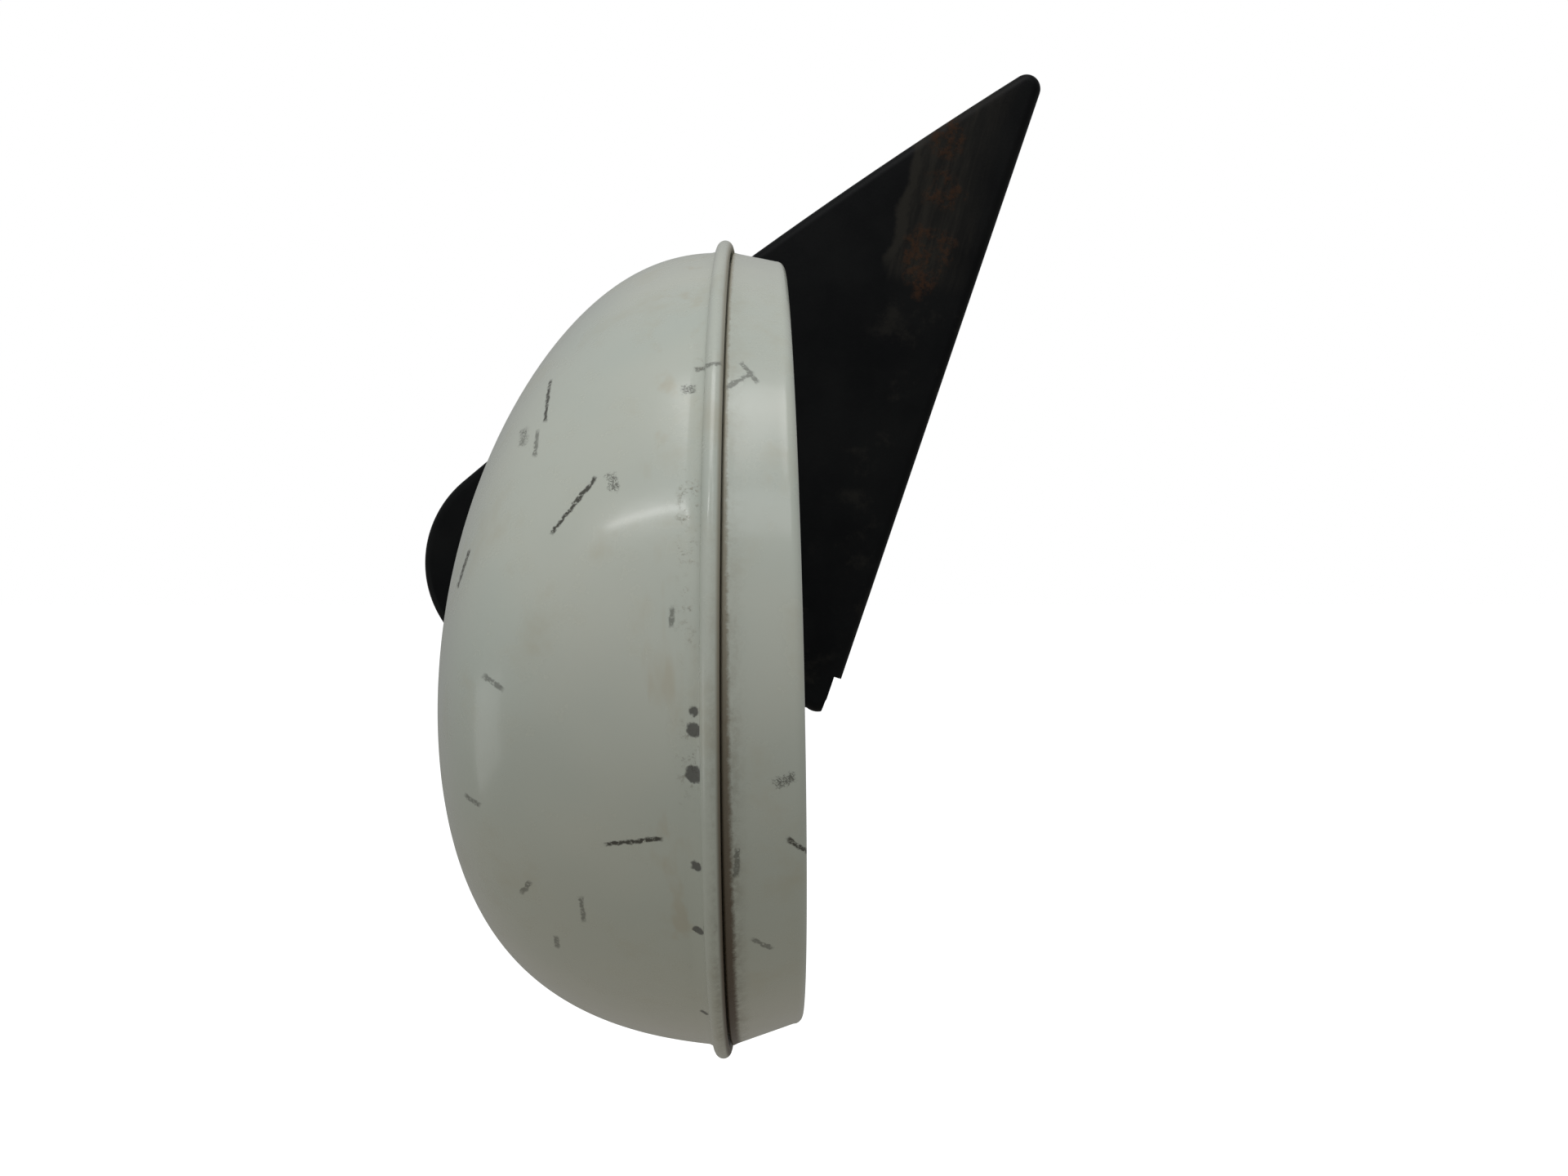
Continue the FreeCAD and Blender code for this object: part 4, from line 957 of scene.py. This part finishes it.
def notch_points():
    """The notch's corners, square to the rear edge beside the lower rear corner."""
    x, z, radius = CORNERS["corner"]
    turn = straight_normal(CORNERS["corner"], CORNERS["apex"])
    out, up = (math.cos(turn), math.sin(turn)), (-math.sin(turn), math.cos(turn))
    spots = [(radius - NOTCH_DEEP, NOTCH_TOP - NOTCH_LONG), (radius + NOTCH_DEEP, NOTCH_TOP - NOTCH_LONG)]
    spots += [(radius + NOTCH_DEEP, NOTCH_TOP), (radius - NOTCH_DEEP, NOTCH_TOP)]
    return [(x + a * out[0] + b * up[0], z + a * out[1] + b * up[1]) for a, b in spots]


def sail_cover():
    """The pressing: rolled edge, hollow back and notch."""
    bm = bar(sail_points(), -SAIL_DEEP, SKIRT_END)
    rim = [edge for edge in bm.edges if all(abs(v.co.y + SAIL_DEEP) < 1e-6 for v in edge.verts)]
    bevel = {"offset_type": "OFFSET", "segments": 8, "profile": 0.5, "material": -1, "affect": "EDGES"}
    bmesh.ops.bevel(bm, geom=rim, offset=ROLL, **bevel)
    paint = FINISHES["black_paint"]
    piece = finish_mesh(bm, "sail_pressing", "door_side", paint, ["sail_cover"], merge=0.01)
    inside = sail_points(SAIL_WALL / MM)
    take_away(piece, cutter("hollow", inside, -SAIL_DEEP + SAIL_WALL, SKIRT_END + MM))
    take_away(piece, cutter("notch", notch_points(), -2 * SAIL_DEEP, SKIRT_END + MM))
    return piece


cover = sail_cover()
print("sail with hollow and notch:", len(cover.data.polygons), "faces")

# %% [markdown]
# ## The parts that keep their shape
# The other parts keep the frame's own meshes and only change their material. Each node's slot in the
# record says which finish it wears.
# %% Finishes on the frame's own parts
SLOT_OF = {part["node"]: part["material_slot"] for part in frame["record"]["subparts"]}
REPLACED = {"head_shell", "rim_ring", "sail_cover"}


def dress(node):
    """Give a frame part the finish of its slot."""
    part = frame["nodes"][node]
    part.data.materials.clear()
    part.data.materials.append(FINISHES[SLOT_OF[node]])


for node in frame["nodes"]:
    if node not in REPLACED:
        dress(node)
print("dressed:", len(frame["nodes"]) - len(REPLACED), "frame parts")

# %% [markdown]
# ## Floor, light and camera
# A pale floor well below the part, a bright plain surround, one soft lamp overhead, a fill, and three
# smaller lamps that draw the highlights on the dome and collar. The camera stands level, outboard of the
# head.
# %% Studio


def lamp(name, place, sides, power, roll):
    """A soft rectangular lamp at place, aimed at the dome and rolled by some degrees; lengths in metres."""
    data = bpy.data.lights.new(name, "AREA")
    data.shape = "RECTANGLE"
    data.size, data.size_y = sides
    data.energy = power
    item = bpy.data.objects.new(name, data)
    bpy.context.scene.collection.objects.link(item)
    item.location = place
    item.rotation_mode = "QUATERNION"
    aim = (AIM - place).to_track_quat("-Z", "Y")
    item.rotation_quaternion = aim @ Quaternion((0, 0, 1), math.radians(roll))


def floor():
    """Pale floor that the lamps and reflections don't see."""
    bm = bmesh.new()
    bmesh.ops.create_grid(bm, x_segments=4, y_segments=4, size=30.0, matrix=Matrix.Translation((0, 0, -0.45)))
    mesh = bpy.data.meshes.new("floor")
    bm.to_mesh(mesh)
    bm.free()
    piece = bpy.data.objects.new("floor", mesh)
    bpy.context.scene.collection.objects.link(piece)
    pale = Finish("pale_floor", roughness=0.9, Emission_Strength=1.0)
    colour = pale.mix(pale.noise(400, detail=2), (0.80, 0.80, 0.80), (0.84, 0.84, 0.84))
    mesh.materials.append(pale.wire(Base_Color=colour, Emission_Color=colour))
    piece.visible_diffuse = False
    piece.visible_glossy = False


def surround():
    """White behind the part; for its lighting, a sky that darkens from overhead to below."""
    world = bpy.data.worlds.new("surround")
    bpy.context.scene.world = world
    world.use_nodes = True
    start = Wire(world.node_tree)
    split = start.node("SeparateXYZ", {}, {0: start.node("TexCoord")})
    height = Wire(start.tree, split.socket.node.outputs["Z"]) * 0.5 + 0.5
    sky = start.node("ValToRGB", {"stops": SKY}, {0: height})
    seen = start.node("LightPath")
    colour = start.node("Mix", {"data_type": "RGBA"}, {0: seen, 6: sky, 7: (1.0, 1.0, 1.0, 1.0)}, out=2)
    start.tree.links.new(colour.socket, start.tree.nodes["Background"].inputs["Color"])


SKY = [
    (0.0, (0.31, 0.295, 0.27)),
    (0.35, (0.27, 0.265, 0.25)),
    (0.5, (0.28, 0.28, 0.275)),
    (1.0, (0.37, 0.38, 0.385)),
]
floor()
surround()
AIM = Vector((HEAD_X, HEAD_Y - HALF_WIDE, HEAD_Z))
# Each lamp: degrees round to the right, degrees up, distance, width, height, power and roll.
LAMPS = {
    "overhead": (0, 75, 1.2, 0.7, 0.7, 4.7, 0),
    "arc": (-30, 45, 1.6, 0.5, 0.05, 1.9, 30),
    "collar_glow": (30, 45, 1.6, 0.5, 0.4, 1.1, 0),
    "fill": (-75, -15, 1.5, 0.8, 0.8, 1.8, 0),
    "small": (-15, 0, 1.6, 0.08, 0.08, 0.2, 0),
}
for name, (right, up, far, wide, tall, power, roll) in LAMPS.items():
    turn, rise = math.radians(right), math.radians(up)
    way = Vector((math.sin(turn) * math.cos(rise), -math.cos(turn) * math.cos(rise), math.sin(rise)))
    lamp(name, AIM + way * far, (wide, tall), power, roll)
print("lamps:", ", ".join(LAMPS))

# %% [markdown]
# ## Camera
# The camera is close, at about arm's length, so the head looks large against the sail behind it. The
# Standard view keeps the paint's tones as they are set.
# %% Camera
LENS = 30.0
SENSOR = 36.0
CAMERA_YAW = 0.86
camera_data = bpy.data.cameras.new("camera")
camera_data.lens = LENS
camera_data.sensor_width = SENSOR
camera = bpy.data.objects.new("camera", camera_data)
bpy.context.scene.collection.objects.link(camera)
camera.location = (2.7 * MM, -391 * MM, -35 * MM)
camera.rotation_euler = (math.radians(90), 0, math.radians(-CAMERA_YAW))
camera_data.clip_start = 0.01
bpy.context.scene.camera = camera
bpy.context.scene.view_settings.view_transform = "Standard"
print("camera at", [round(v, 4) for v in camera.location])
